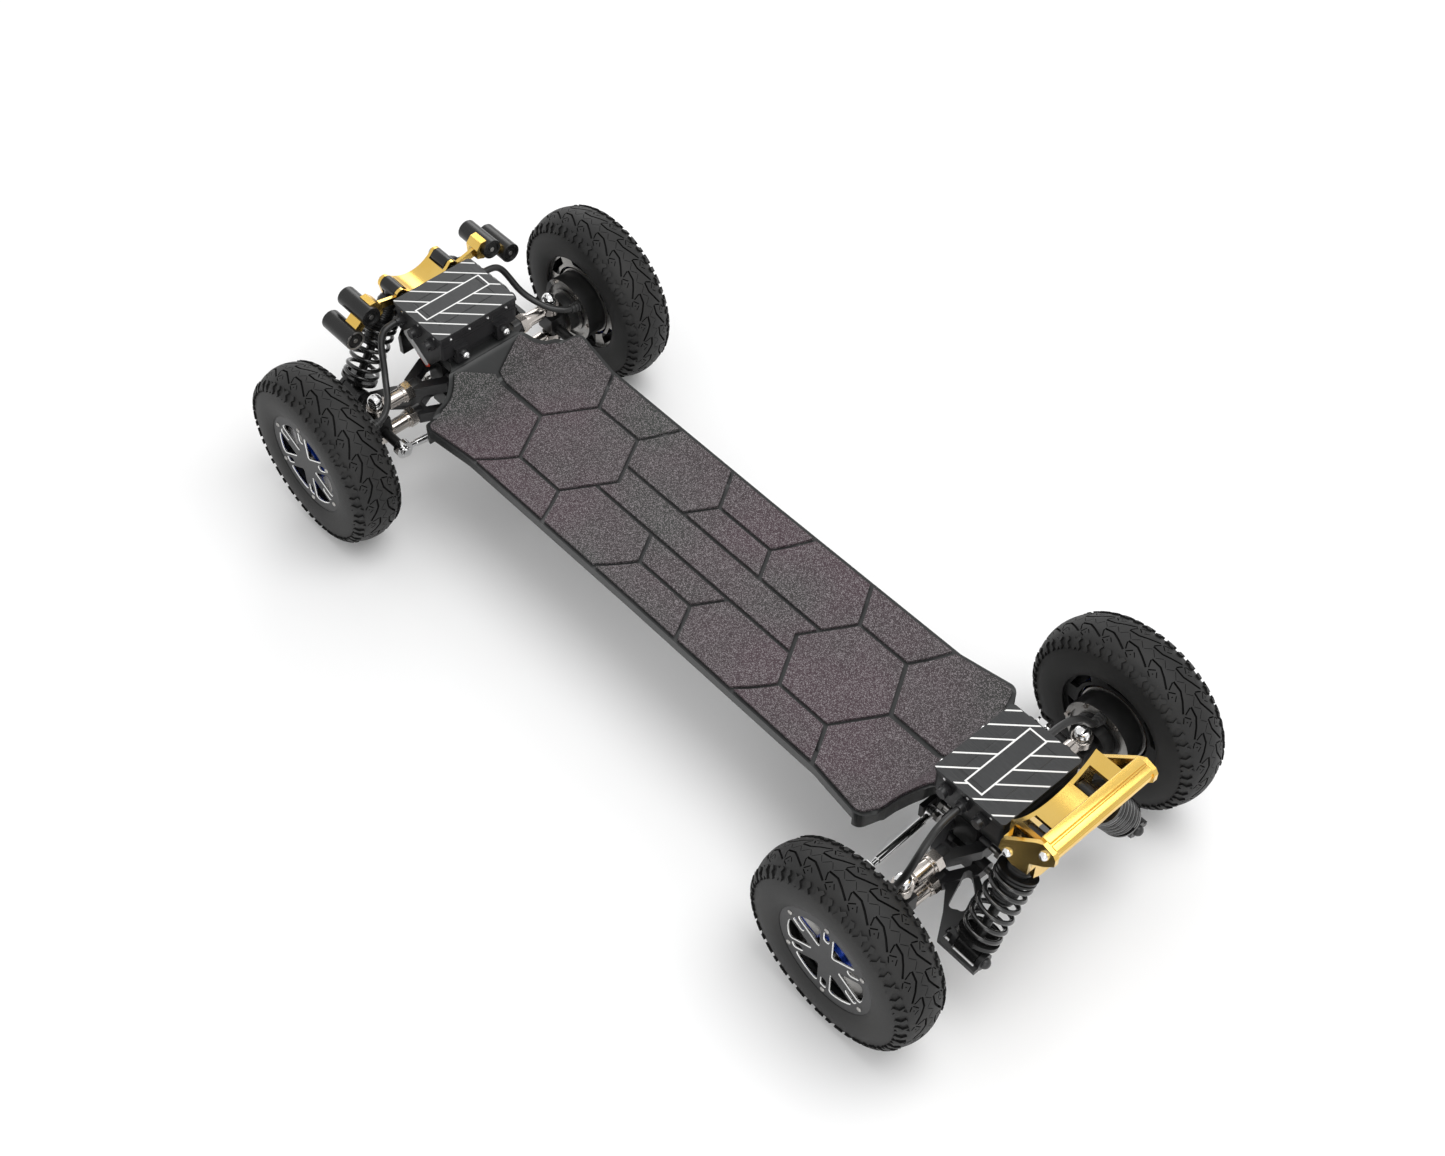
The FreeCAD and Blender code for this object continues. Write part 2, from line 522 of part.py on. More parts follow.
def make_knuckle():
    """Steering knuckle with its arm, the wheel axle, and the fixed half of the hub motor."""
    z0, z1 = LOWER_Z + 10.5, UPPER_Z - 10.5
    hub = fuse(box(AXLE_X - 15, AXLE_X + 15, KING_Y - 10, KING_Y + 14, z0, z1),
               rod("y", AXLE_X, TYRE_R, 27, KING_Y + 14, DRUM[0]),
               rod("x", TIE_OUT[1], TIE_OUT[2], 7.0, TIE_OUT[0] + 10, AXLE_X - 10))
    hub = hub.cut([rod("z", AXLE_X, KING_Y, KINGPIN_R + RUN_FIT, 80, 170),
                   rod("y", AXLE_X, TYRE_R, 10.0, KING_Y + 12, 300)])
    axle = rod("y", AXLE_X, TYRE_R, 10.0, KING_Y + 12, AXLE_END)
    drum = ring("y", AXLE_X, TYRE_R, 10.0, 47.0, *DRUM)
    drum = drum.cut(ring("y", AXLE_X, TYRE_R, 32.0, 40.0, DRUM[0] - 1, DRUM[0] + 3))
    drum = fuse(drum, ring("y", AXLE_X, TYRE_R, 10.0, 49.0, DRUM[1], STATOR_END))
    x, y, z = TIE_OUT
    stud = fuse(rod("x", y, z, 4.0, x - 8, x + 10), ball_on_x(7.5, x, y, z), rod("x", y, z, 6.0, x - 11, x - 8))
    out = [hub, axle, drum, stud]
    for i in range(6):
        a = math.radians(60 * i)
        out.append(hexagon("y", AXLE_X + 44 * math.cos(a), TYRE_R + 44 * math.sin(a), 5.5,
                           DRUM[0] - 3, DRUM[0]))
    return out


def ball_on_x(r, x, y, z, half=6.0):
    """Ball turned about X, its ends cut flat at half from the middle when that is less than r."""
    half = min(half, r)
    flat = math.sqrt(r * r - half * half)
    at = [V(x - half, y, z), V(x - half, y, z + flat), V(x, y, z + r), V(x + half, y, z + flat), V(x + half, y, z)]
    edges = [Part.Arc(at[1], at[2], at[3]).toShape(), Part.LineSegment(at[4], at[0]).toShape()]
    if flat > 1e-6:
        edges += [Part.LineSegment(at[0], at[1]).toShape(), Part.LineSegment(at[3], at[4]).toShape()]
    face = Part.Face(Part.Wire(Part.__sortEdges__(edges)))
    return face.revolve(V(x, y, z), V(1, 0, 0), 360)


def make_tie_rod():
    (xo, yo, zo), (xi, yi, zi) = TIE_OUT, TIE_IN
    a, b = V(xo, yo, zo), V(xi, yi, zi)
    way = (a - b).normalize()
    run = (a - b).Length
    eye = rod("x", yo, zo, 12.0, xo - 5, xo + 5)
    bar = Part.makeCylinder(5.5, run - 38, b + way * 18, way)
    necks = [Part.makeCylinder(4.0, 12, b + way * 7, way), Part.makeCylinder(4.0, 12, a - way * 21, way)]
    tip = rod("x", yi, zi, 9.0, xi - 4, xi + 4)
    body = fuse(eye, bar, *necks, tip)
    body = body.cut(rod("x", yi, zi, 4.0 + RUN_FIT, xi - 9, xi + 9))
    return [body.cut(ball_on_x(8.2, xo, yo, zo, 9.0))]


def revolve(points, axis="y"):
    """Full turn of a closed outline about the wheel axis; a point is (y, radius) or an arc pair."""
    edges, at = [], None

    def put(p):
        return V(AXLE_X, WHEEL_Y + p[0], TYRE_R + p[1])
    at = put(points[0])
    for step in points[1:]:
        if isinstance(step[0], tuple):
            edges.append(Part.Arc(at, put(step[0]), put(step[1])).toShape())
            at = put(step[1])
        else:
            edges.append(Part.LineSegment(at, put(step)).toShape())
            at = put(step)
    face = Part.Face(Part.Wire(edges))
    return face.revolve(V(AXLE_X, WHEEL_Y, TYRE_R), V(0, 1, 0), 360)


def make_tyre():
    r, w = TYRE_R, TYRE_HALF_W
    shoulder = (w - 1.5, 113)

    def crown(top, edge, y):
        """Height at y of the arc that is level at the middle and runs down to the edge point."""
        rise = top - edge[1]
        big = (edge[0] ** 2 + rise ** 2) / (2 * rise)
        return top - big + math.sqrt(big ** 2 - y * y)
    tread = [(y, crown(r, shoulder, y)) for y in (-20, 0, 20)]
    lining = [(y, crown(r - 9, (28, 102), y)) for y in (18, 0, -18)]
    return [revolve([(-21, BEAD_R), (-27, BEAD_R), (-27, 83), (-30.5, 83), (-30.5, 78), (-33, 77.5),
                     ((-w, 92), (-shoulder[0], 113)),
                     (tread[0], tread[1]), (tread[2], shoulder), ((w, 92), (33, 77.5)),
                     (30.5, 78), (30.5, 83), (27, 83), (27, BEAD_R), (21, BEAD_R), ((24, 90), (28, 102)),
                     (lining[0], lining[1]), (lining[2], (-28, 102)), ((-24, 90), (-21, BEAD_R))])]


def make_rim():
    """Barrel with bead flanges, windowed inner plate, and the turning half of the motor."""
    b = BEAD_R
    barrel = revolve([(-30.5, b - 5), (-30.5, 83), (-27, 83), (-27, b), (27, b), (27, 83), (30.5, 83),
                      (30.5, b - 5), (-30.5, b - 5)])
    plate = ring("y", AXLE_X, TYRE_R, 52.5, b - 5, WHEEL_Y - 26, WHEEL_Y - 20)
    for i in range(6):
        a0 = 60 * i + 13
        pts = [(r * math.cos(math.radians(a)), r * math.sin(math.radians(a)))
               for r, a in ((57.5, a0), (68, a0 - 3), (68, a0 + 17), (68, a0 + 37), (57.5, a0 + 34),
                            (57.5, a0 + 17))]
        plate = plate.cut(prism([(AXLE_X + x, TYRE_R + z) for x, z in pts], "y", 190, 215))
    ledge = ring("y", AXLE_X, TYRE_R, 64, b - 5, WHEEL_Y + 20, WHEEL_Y + 26)
    frame = fuse(barrel, plate, ledge)
    can = ring("y", AXLE_X, TYRE_R, 52.0, 57.0, WHEEL_Y - 20, WHEEL_Y + 20)
    can = fuse(can, ring("y", AXLE_X, TYRE_R, 17.0, 57.0, WHEEL_Y + 15, WHEEL_Y + 20),
               ring("y", AXLE_X, TYRE_R, 17.0, 26.0, WHEEL_Y + 20, WHEEL_Y + 26))
    bearing = ring("y", AXLE_X, TYRE_R, 10.0 + RUN_FIT, 17.0, WHEEL_Y + 15, WHEEL_Y + 29)
    return [frame, can, bearing]


def make_hub_cap():
    """Cover over the rim mouth: six spokes between wedge windows, a slot in each, six screws."""
    cap = rod("y", AXLE_X, TYRE_R, BEAD_R - 5.3, WHEEL_Y + 26, WHEEL_Y + 32)
    cap = cap.cut(rod("y", AXLE_X, TYRE_R, 17.0, WHEEL_Y + 20, WHEEL_Y + 29.5))
    half, far = SPOKE_W / 2, 57.5
    swing = 30 - math.degrees(math.asin(half / far))
    wedge = [(far, -swing + 7), (far, 0), (far, swing - 7), (far - 5, swing - 1.5), (2 * half + 1, 1.5),
             (2 * half + 1, -1.5), (far - 5, 1.5 - swing)]
    out = []
    for i in range(6):
        pts = [(r * math.cos(math.radians(60 * i + a)), r * math.sin(math.radians(60 * i + a))) for r, a in wedge]
        cap = cap.cut(prism([(AXLE_X + x, TYRE_R + z) for x, z in pts], "y", WHEEL_Y + 24, WHEEL_Y + 34))
        slot = box(39.5, 55.5, WHEEL_Y + 24, WHEEL_Y + 34, -3.7, 3.7)
        slot.rotate(V(0, 0, 0), V(0, 1, 0), -60 * i - 30)
        slot.translate(V(AXLE_X, 0, TYRE_R))
        cap = cap.cut(slot)
        a = math.radians(60 * i + 30)
        out.append(rod("y", AXLE_X + 63.5 * math.cos(a), TYRE_R + 63.5 * math.sin(a), 3.0,
                       WHEEL_Y + 32, WHEEL_Y + 33.5))
    return [cap] + out


# ---- shocks: built upright from the lower eye, then placed ---------------------------------------
def shock_length():
    return math.hypot(SHOCK_TOP[0] - SHOCK_LOW[0], SHOCK_TOP[1] - SHOCK_LOW[1])


SEAT_S = 18.0           # underside of the spring seat, above the lower eye
SPRING_S = (23.0, 108.0)
BODY_S = 74.0           # lower end of the damper body
COIL_R = 22.0
WIRE_R = 3.1


def place_shock(shape, sx, sy):
    lean = math.degrees(math.atan2(SHOCK_LOW[0] - SHOCK_TOP[0], SHOCK_TOP[1] - SHOCK_LOW[1]))
    shape = shape.copy()
    shape.rotate(V(0, 0, 0), V(1, 0, 0), sy * lean)
    shape.translate(V(sx * SHOCK_X, sy * SHOCK_LOW[0], SHOCK_LOW[1]))
    return shape


def make_shock_rod():
    """Lower eye, spring seat and piston rod."""
    eye = rod("x", 0, 0, 10.0, -15, 15)
    body = fuse(eye, rod("z", 0, 0, 8.0, 6, SEAT_S), rod("z", 0, 0, 25.0, SEAT_S, SPRING_S[0]),
                rod("z", 0, 0, 6.0, SPRING_S[0], 100))
    return [body.cut(rod("x", 0, 0, 4.0 + EYE_GAP, -20, 20))]


EYE_GAP = 1.2           # the lower eye is the loop's open pivot


def make_shock_body():
    """Threaded damper body with its spring collar and upper eye."""
    top = shock_length()
    profile = [V(0, 0, BODY_S), V(13.4, 0, BODY_S)]
    z, pitch = BODY_S + 3, 3.2
    while z + pitch < top - 17:
        profile += [V(13.4, 0, z), V(14.8, 0, z + 0.8), V(14.8, 0, z + 1.8), V(13.4, 0, z + 2.6)]
        z += pitch
    profile += [V(13.4, 0, top - 15), V(10.0, 0, top - 11), V(0, 0, top - 11)]
    body = Part.Face(Part.makePolygon(profile + profile[:1])).revolve(V(0, 0, 0), V(0, 0, 1), 360)
    body = body.cut(rod("z", 0, 0, 6.0 + RUN_FIT, BODY_S - 1, 122))
    eye = rod("x", 0, top, 10.0, -14.5, 14.5)
    body = fuse(body, rod("z", 0, 0, 9.0, top - 13, top - 3), eye)
    body = body.cut(rod("x", 0, top, 4.0 + RUN_FIT, -20, 20))
    collar = rod("z", 0, 0, 24.5, SPRING_S[1], SPRING_S[1] + 7).cut(
        ring("z", 0, 0, 23.0, 26.0, SPRING_S[1] + 2.5, SPRING_S[1] + 4.5))
    collar = collar.cut(rod("z", 0, 0, 14.8, 90, 130))
    return [body, collar]


def make_spring():
    z0, z1 = SPRING_S[0] + WIRE_R + 0.05, SPRING_S[1] - WIRE_R - 0.05
    turns = 5.5
    helix = Part.makeHelix((z1 - z0) / turns, z1 - z0, COIL_R)
    pts = [V(COIL_R + WIRE_R * math.cos(math.radians(36 * i)), 0, WIRE_R * math.sin(math.radians(36 * i)))
           for i in range(10)]
    start = Part.makePolygon(pts + pts[:1])
    coil = Part.Wire(helix.Edges).makePipeShell([start], True, True)
    coil.translate(V(0, 0, z0))
    return [Part.Solid(coil) if coil.ShapeType != "Solid" else coil]


# ---- leads ------------------------------------------------------------------------------------------
LEAD_R = 4.5


def tube(points, r):
    """Round cord along straight runs joined by tangent arcs as large as the runs allow."""
    pts = [V(*p) for p in points]
    edges, at, radii = [], pts[0], []
    for i in range(1, len(pts) - 1):
        u, w = pts[i - 1] - pts[i], pts[i + 1] - pts[i]
        turn = math.pi - u.getAngle(w)
        cut = 0.45 * min(u.Length, w.Length)
        radii.append(cut / math.tan(turn / 2))
        a, b = pts[i] + u.normalize() * cut, pts[i] + w.normalize() * cut
        bow = (u + w).normalize()
        mid = pts[i] + bow * (math.hypot(radii[-1], cut) - radii[-1])
        edges += [Part.LineSegment(at, a).toShape(), Part.Arc(a, mid, b).toShape()]
        at = b
    edges.append(Part.LineSegment(at, pts[-1]).toShape())
    path = Part.Wire(edges)
    start = Part.Wire(Part.makeCircle(r, pts[0], pts[1] - pts[0]))
    shape = path.makePipeShell([start], True, True)
    solid = shape if shape.ShapeType == "Solid" else Part.Solid(shape)
    share = solid.Volume / (math.pi * r * r * path.Length)
    print("lead: length %.0f, radii %s, volume ratio %.4f" % (path.Length, [round(q) for q in radii], share))
    return solid


# Each lead leaves its gland, arcs over the upper arm and ends on the motor drum. The front leads
# start at the gland beside the tower and drop behind the kingpin, the rear ones lead straight out.
FRONT_LEAD = [(527, 73, 231), (527, 88, 231), (524, 99, 224), (517, 106, 208), (507, 112, 190), (494, 121, 176),
              (474, 133, 166), (461, 148, 161), (457, 160, 158), (456, 174.2, 156.5)]
REAR_LEAD = [(489, 73, 231), (489, 88, 231), (490, 106, 228), (492, 125, 216), (492, 139, 198),
             (491, 150, 181), (489, 162, 170.5), (488, 174.2, 167)]


def make_leads():
    """One motor lead per wheel, from the box gland over the upper arm to the motor drum."""
    routes = {1: FRONT_LEAD, -1: REAR_LEAD}
    return [flip(tube(routes[sx], LEAD_R), sx, sy) for sx, sy in CORNERS.values()]


def make_glands():
    """Cable glands on both sides of each box."""
    out = []
    for sx in (1, -1):
        for x in GLAND_X[sx]:
            one = fuse(hexagon("y", x, 231, 15, BOX_HALF, BOX_HALF + 6),
                       rod("y", x, 231, 5.0, BOX_HALF - 6, BOX_HALF),
                       rod("y", x, 231, 6.5, BOX_HALF + 6, BOX_HALF + 12))
            out += [flip(one, sx, 1), flip(one, sx, -1)]
    return out


# ---- write the files ----------------------------------------------------------------------------------
def main():
    os.makedirs("parts", exist_ok=True)
    save("deck", make_deck())
    save("grip_pads", make_grip_pads())
    for end, sx in ENDS.items():
        save(end + "_box", make_box(sx))
        save(end + "_lid", make_lid(sx))
        save(end + "_bulkhead", make_bulkhead(sx))
    save("front_tower", make_front_tower())
    save("rear_tower", make_rear_tower() + make_end_plates())
    save("bumper_bar", make_bumper())
    save("headlights", make_headlights())
    save("electronics", make_electronics())
    save("chassis_fasteners", make_fasteners())
    save("motor_leads", make_leads())
    save("cable_glands", make_glands())
    corner = {"tyre": make_tyre(), "rim": make_rim(), "hub_cap": make_hub_cap(), "knuckle": make_knuckle(),
              "kingpin": make_kingpin(), "lower_arm": make_lower_arm(), "upper_arm": make_upper_arm(),
              "tie_rod": make_tie_rod()}
    shock = {"shock_body": make_shock_body(), "shock_rod": make_shock_rod(), "spring": make_spring()}
    for tag, (sx, sy) in CORNERS.items():
        for name, shapes in corner.items():
            save("%s_%s" % (name, tag), [flip(s, sx, sy) for s in shapes])
        for name, shapes in shock.items():
            save("%s_%s" % (name, tag), [place_shock(s, sx, sy) for s in shapes])


main()
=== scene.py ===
import json
import math

import bmesh
import bpy
from mathutils import Matrix, Vector, geometry

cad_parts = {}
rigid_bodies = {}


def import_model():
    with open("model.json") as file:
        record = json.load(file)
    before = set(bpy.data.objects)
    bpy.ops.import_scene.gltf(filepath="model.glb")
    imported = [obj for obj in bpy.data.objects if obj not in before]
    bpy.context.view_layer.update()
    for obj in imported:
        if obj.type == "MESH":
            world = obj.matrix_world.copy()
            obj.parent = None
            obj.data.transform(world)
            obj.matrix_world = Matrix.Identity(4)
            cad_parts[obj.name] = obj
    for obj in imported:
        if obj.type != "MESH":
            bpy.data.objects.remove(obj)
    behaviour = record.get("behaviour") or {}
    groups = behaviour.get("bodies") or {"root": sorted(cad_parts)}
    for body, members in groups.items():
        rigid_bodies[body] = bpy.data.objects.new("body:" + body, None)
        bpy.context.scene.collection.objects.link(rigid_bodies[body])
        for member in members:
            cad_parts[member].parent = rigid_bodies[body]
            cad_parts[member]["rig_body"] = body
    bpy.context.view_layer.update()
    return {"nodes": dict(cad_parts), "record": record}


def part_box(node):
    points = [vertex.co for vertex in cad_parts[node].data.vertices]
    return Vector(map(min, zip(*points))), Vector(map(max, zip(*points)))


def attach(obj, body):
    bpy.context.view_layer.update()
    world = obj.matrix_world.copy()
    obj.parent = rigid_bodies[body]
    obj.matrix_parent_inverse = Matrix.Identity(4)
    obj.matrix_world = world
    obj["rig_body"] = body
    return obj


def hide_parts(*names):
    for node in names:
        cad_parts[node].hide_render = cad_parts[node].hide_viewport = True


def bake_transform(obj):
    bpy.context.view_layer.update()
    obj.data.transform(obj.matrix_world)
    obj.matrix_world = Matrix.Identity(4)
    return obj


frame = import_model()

# Looks of the electric skateboard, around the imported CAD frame. Blender works in metres; shapes here are
# worked out in millimetres, in the front left corner's own frame, and carried to the other corners.
MM = 0.001
CORNERS = {"fl": (1, 1), "fr": (1, -1), "rl": (-1, 1), "rr": (-1, -1)}
ENDS = {"front": 1, "rear": -1}


# ---- places read from the CAD --------------------------------------------------------------------
def middle(node):
    """Middle of a CAD node's box, in millimetres."""
    low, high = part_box(node)
    return (low + high) / (2 * MM)


def span(node):
    """Corners of a CAD node's box, in millimetres."""
    low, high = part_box(node)
    return low / MM, high / MM


SHIFT = (middle("tyre_fl").x + middle("tyre_rl").x) / 2       # the frame's origin from mid-wheelbase
AXLE_X = (middle("tyre_fl").x - middle("tyre_rl").x) / 2
WHEEL_Y, WHEEL_Z = middle("tyre_fl").y, middle("tyre_fl").z


def local(point, sx, sy):
    """A point of the row frame, as millimetres in the front left corner's frame."""
    return Vector(((point.x / MM - SHIFT) * sx, point.y / MM * sy, point.z / MM))


def outward(point, sx, sy):
    """A point in the front left corner's millimetres, carried to another corner of the row frame."""
    x, y, z = point
    return Vector(((x * sx + SHIFT) * MM, y * sy * MM, z * MM))


# ---- materials -----------------------------------------------------------------------------------
MATS = {}


def material(name, base, rough, metallic=0.0, second=None, blotch=25.0, grain=700.0, bump=0.05,
             rough_swing=0.08, stretch=(1, 1, 1), speckle=None, **sockets):
    """Principled material: colour drifts between base and second, and a fine grain moves roughness and
    bump. speckle is (colour, cells per metre, share) for bright flecks."""
    mat = bpy.data.materials.new(name)
    mat.use_nodes = True
    nodes, links = mat.node_tree.nodes, mat.node_tree.links
    bsdf = nodes["Principled BSDF"]
    coords = nodes.new("ShaderNodeTexCoord")
    mapping = nodes.new("ShaderNodeMapping")
    mapping.inputs["Scale"].default_value = stretch
    links.new(coords.outputs["Object"], mapping.inputs["Vector"])

    def cloud(scale, detail):
        tex = nodes.new("ShaderNodeTexNoise")
        tex.inputs["Scale"].default_value = scale
        tex.inputs["Detail"].default_value = detail
        links.new(mapping.outputs["Vector"], tex.inputs["Vector"])
        return tex.outputs["Fac"]

    ramp = nodes.new("ShaderNodeValToRGB")
    ramp.color_ramp.elements[0].position, ramp.color_ramp.elements[1].position = 0.38, 0.62
    ramp.color_ramp.elements[0].color = (*base, 1)
    ramp.color_ramp.elements[1].color = (*(second or [c * 1.25 for c in base]), 1)
    links.new(cloud(blotch, 4), ramp.inputs["Fac"])
    colour = ramp.outputs["Color"]
    if speckle:
        fleck, density, share = speckle
        cells = nodes.new("ShaderNodeTexVoronoi")
        cells.inputs["Scale"].default_value = density
        links.new(coords.outputs["Object"], cells.inputs["Vector"])
        pick = nodes.new("ShaderNodeSeparateColor")
        links.new(cells.outputs["Color"], pick.inputs["Color"])
        step = nodes.new("ShaderNodeMapRange")
        step.inputs["From Min"].default_value, step.inputs["From Max"].default_value = 1 - share, 1.0
        links.new(pick.outputs["Red"], step.inputs["Value"])
        mix = nodes.new("ShaderNodeMix")
        mix.data_type = "RGBA"
        mix.inputs["B"].default_value = (*fleck, 1)
        links.new(step.outputs["Result"], mix.inputs["Factor"])
        links.new(colour, mix.inputs["A"])
        colour = mix.outputs["Result"]
    links.new(colour, bsdf.inputs["Base Color"])

    fine = cloud(grain, 2)
    swing = nodes.new("ShaderNodeMapRange")
    swing.inputs["To Min"].default_value = max(0.03, rough - rough_swing)
    swing.inputs["To Max"].default_value = min(1.0, rough + rough_swing)
    links.new(fine, swing.inputs["Value"])
    links.new(swing.outputs["Result"], bsdf.inputs["Roughness"])
    relief = nodes.new("ShaderNodeBump")
    relief.inputs["Strength"].default_value = bump
    relief.inputs["Distance"].default_value = 0.001
    links.new(fine, relief.inputs["Height"])
    links.new(relief.outputs["Normal"], bsdf.inputs["Normal"])
    bsdf.inputs["Metallic"].default_value = metallic
    for socket, value in sockets.items():
        bsdf.inputs[socket.replace("_", " ")].default_value = value
    MATS[name] = mat


material("rubber", (0.013, 0.013, 0.013), 0.60, second=(0.018, 0.0175, 0.017), blotch=14, grain=900,
         bump=0.12, Specular_IOR_Level=0.35)
# painted shade: a darker rubber laid on groove and sipe floors and on the walls round grooves and knobs
material("rubber_painted_shade", (0.007, 0.007, 0.007), 0.75, second=(0.010, 0.010, 0.010), blotch=30, grain=900,
         Specular_IOR_Level=0.15)
material("deck_shell", (0.013, 0.014, 0.014), 0.40, second=(0.018, 0.019, 0.019), grain=1500, bump=0.06)
# grip pads: the large blotchy drift between purple-brown and grey-green is painted sheen; the pale flecks are
# the grit's own colour
material("grit_and_painted_sheen", (0.050, 0.029, 0.037), 0.80, second=(0.026, 0.031, 0.027), blotch=4.0, grain=1000, bump=1.0,
         speckle=((0.25, 0.225, 0.235), 1150.0, 0.45), rough_swing=0.15)
material("box_black", (0.012, 0.012, 0.013), 0.34, second=(0.017, 0.017, 0.018), grain=1200, bump=0.05)
material("seam_black", (0.004, 0.004, 0.004), 0.60, second=(0.007, 0.007, 0.007), grain=900)
material("silver", (0.58, 0.58, 0.59), 0.42, metallic=0.4, second=(0.66, 0.66, 0.66), grain=1500, bump=0.04)
material("lid_grey", (0.040, 0.041, 0.042), 0.36, metallic=0.55, second=(0.050, 0.051, 0.052), blotch=60,
         grain=900, bump=0.10, stretch=(1, 14, 1))
material("white_line", (0.82, 0.82, 0.81), 0.40, second=(0.76, 0.76, 0.75), bump=0.03)
material("gold", (0.84, 0.55, 0.13), 0.22, metallic=1.0, second=(0.88, 0.60, 0.17), blotch=18, grain=1800,
         bump=0.05, rough_swing=0.06)
material("black_metal", (0.012, 0.012, 0.012), 0.32, metallic=0.35, second=(0.018, 0.018, 0.018), grain=900)
material("arm_black", (0.013, 0.013, 0.014), 0.38, second=(0.020, 0.020, 0.020), grain=700, bump=0.12)
material("nickel", (0.50, 0.46, 0.43), 0.20, metallic=1.0, second=(0.58, 0.54, 0.50), blotch=45, grain=1500,
         bump=0.015)
material("chrome", (0.80, 0.80, 0.80), 0.08, metallic=1.0, second=(0.86, 0.86, 0.86), blotch=45,
         rough_swing=0.03, bump=0.01)
material("steel", (0.36, 0.35, 0.34), 0.30, metallic=1.0, second=(0.46, 0.45, 0.43), grain=1100)
material("machined", (0.78, 0.78, 0.77), 0.26, metallic=0.9, second=(0.86, 0.86, 0.85), grain=1600)
material("cap_grey", (0.013, 0.013, 0.014), 0.50, second=(0.017, 0.017, 0.018), grain=1500, bump=0.08)
material("rim_black", (0.006, 0.006, 0.006), 0.50, second=(0.010, 0.010, 0.010), grain=900, bump=0.06,
         Specular_IOR_Level=0.3)
material("blue_can", (0.010, 0.045, 0.36), 0.26, metallic=0.75, second=(0.016, 0.065, 0.46), grain=1400)
material("stator", (0.10, 0.035, 0.012), 0.45, metallic=0.6, second=(0.03, 0.03, 0.03), blotch=120, grain=900)
material("spring_black", (0.010, 0.010, 0.010), 0.16, second=(0.014, 0.014, 0.014), bump=0.02,
         Coat_Weight=0.6)
material("shock_black", (0.014, 0.014, 0.014), 0.24, metallic=0.4, second=(0.02, 0.02, 0.02), bump=0.04)
material("lead_black", (0.012, 0.012, 0.012), 0.36, second=(0.018, 0.018, 0.018), grain=1200, bump=0.08)
material("lamp_black", (0.012, 0.012, 0.012), 0.28, metallic=0.3, second=(0.016, 0.016, 0.016), grain=1400)
material("lens", (0.80, 0.84, 0.88), 0.06, second=(0.86, 0.89, 0.92), bump=0.02, Transmission_Weight=0.6,
         IOR=1.5)
material("red_accent", (0.45, 0.03, 0.015), 0.35, second=(0.55, 0.05, 0.02), grain=1200)


# ---- mesh helpers --------------------------------------------------------------------------------
def piece(name, bm, mats, body, replaced=(), sharp=35.0):
    """Turns a mesh into an object of the scene that rides on a CAD body; one given no body rides on none."""
    mesh = bpy.data.meshes.new(name)
    bm.to_mesh(mesh)
    bm.free()
    for m in mats:
        mesh.materials.append(MATS[m])
    mesh.shade_smooth()
    mesh.set_sharp_from_angle(angle=math.radians(sharp))
    ob = bpy.data.objects.new(name, mesh)
    bpy.context.scene.collection.objects.link(ob)
    if body:
        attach(ob, body)
    if replaced:
        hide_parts(*replaced)
    return ob


def finished(bm):
    """Takes a mesh drawn in millimetres to metres, with its faces turned outwards."""
    bmesh.ops.scale(bm, verts=bm.verts, vec=(MM, MM, MM))
    bmesh.ops.recalc_face_normals(bm, faces=bm.faces)
    return bm


def soften(ob, width):
    """Rounds an object's edges with a modifier."""
    mod = ob.modifiers.new("edges", "BEVEL")
    mod.width, mod.segments = width * MM, 2
    mod.limit_method, mod.angle_limit = "ANGLE", math.radians(33.0)
    mod.harden_normals = True


def dress(node, paint, width=0.6, corner=(1, 1)):
    """A copy of a CAD node with softened edges. paint is a material, or says which one a face takes
    from its middle and normal in the front left corner's frame."""
    bm = bmesh.new()
    bm.from_mesh(frame["nodes"][node].data)
    bmesh.ops.remove_doubles(bm, verts=bm.verts, dist=2e-6)
    bmesh.ops.dissolve_limit(bm, angle_limit=math.radians(0.5), verts=bm.verts, edges=bm.edges)
    mats = [paint] if isinstance(paint, str) else []
    if not mats:
        for face in bm.faces:
            n = face.normal
            normal = Vector((n.x * corner[0], n.y * corner[1], n.z))
            pick = paint(local(face.calc_center_median(), *corner), normal)
            if pick not in mats:
                mats.append(pick)
            face.material_index = mats.index(pick)
    ob = piece(node + "_skin", bm, mats, frame["nodes"][node]["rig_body"], [node])
    if width:
        soften(ob, width)


def loft(bm, rings):
    """Skins rings of points, one after the other, and fills the first and the last."""
    rows = [[bm.verts.new(p) for p in ring] for ring in rings]
    n = len(rings[0])
    for a, b in zip(rows, rows[1:]):
        for i in range(n):
            j = (i + 1) % n
            bm.faces.new((a[i], a[j], b[j], b[i]))
    bm.faces.new(rows[0][::-1])
    bm.faces.new(rows[-1])


def circle(radius, count, flats=0):
    """Points round a circle, or round a polygon with that many flats, radius to its corners."""
    out = []
    for i in range(count):
        a = 2 * math.pi * i / count
        r = radius
        if flats:
            half = math.pi / flats
            r = radius * math.cos(half) / math.cos((a % (2 * half)) - half)
        out.append((r * math.cos(a), r * math.sin(a)))
    return out


def turned(bm, place, profile, count):
    """Solid of revolution about the local Z of place. profile is a list of (radius, height), with a
    third number where the ring is a polygon with that many flats."""
    rings = []
    for step in profile:
        flats = step[2] if len(step) > 2 else 0
        rings.append([place @ Vector((x, y, step[1])) for x, y in circle(step[0], count, flats)])
    loft(bm, rings)


def facing(point, axis):
    """Matrix that puts local Z along axis at a point."""
    return Matrix.Translation(point) @ Vector(axis).to_track_quat("Z", "Y").to_matrix().to_4x4()


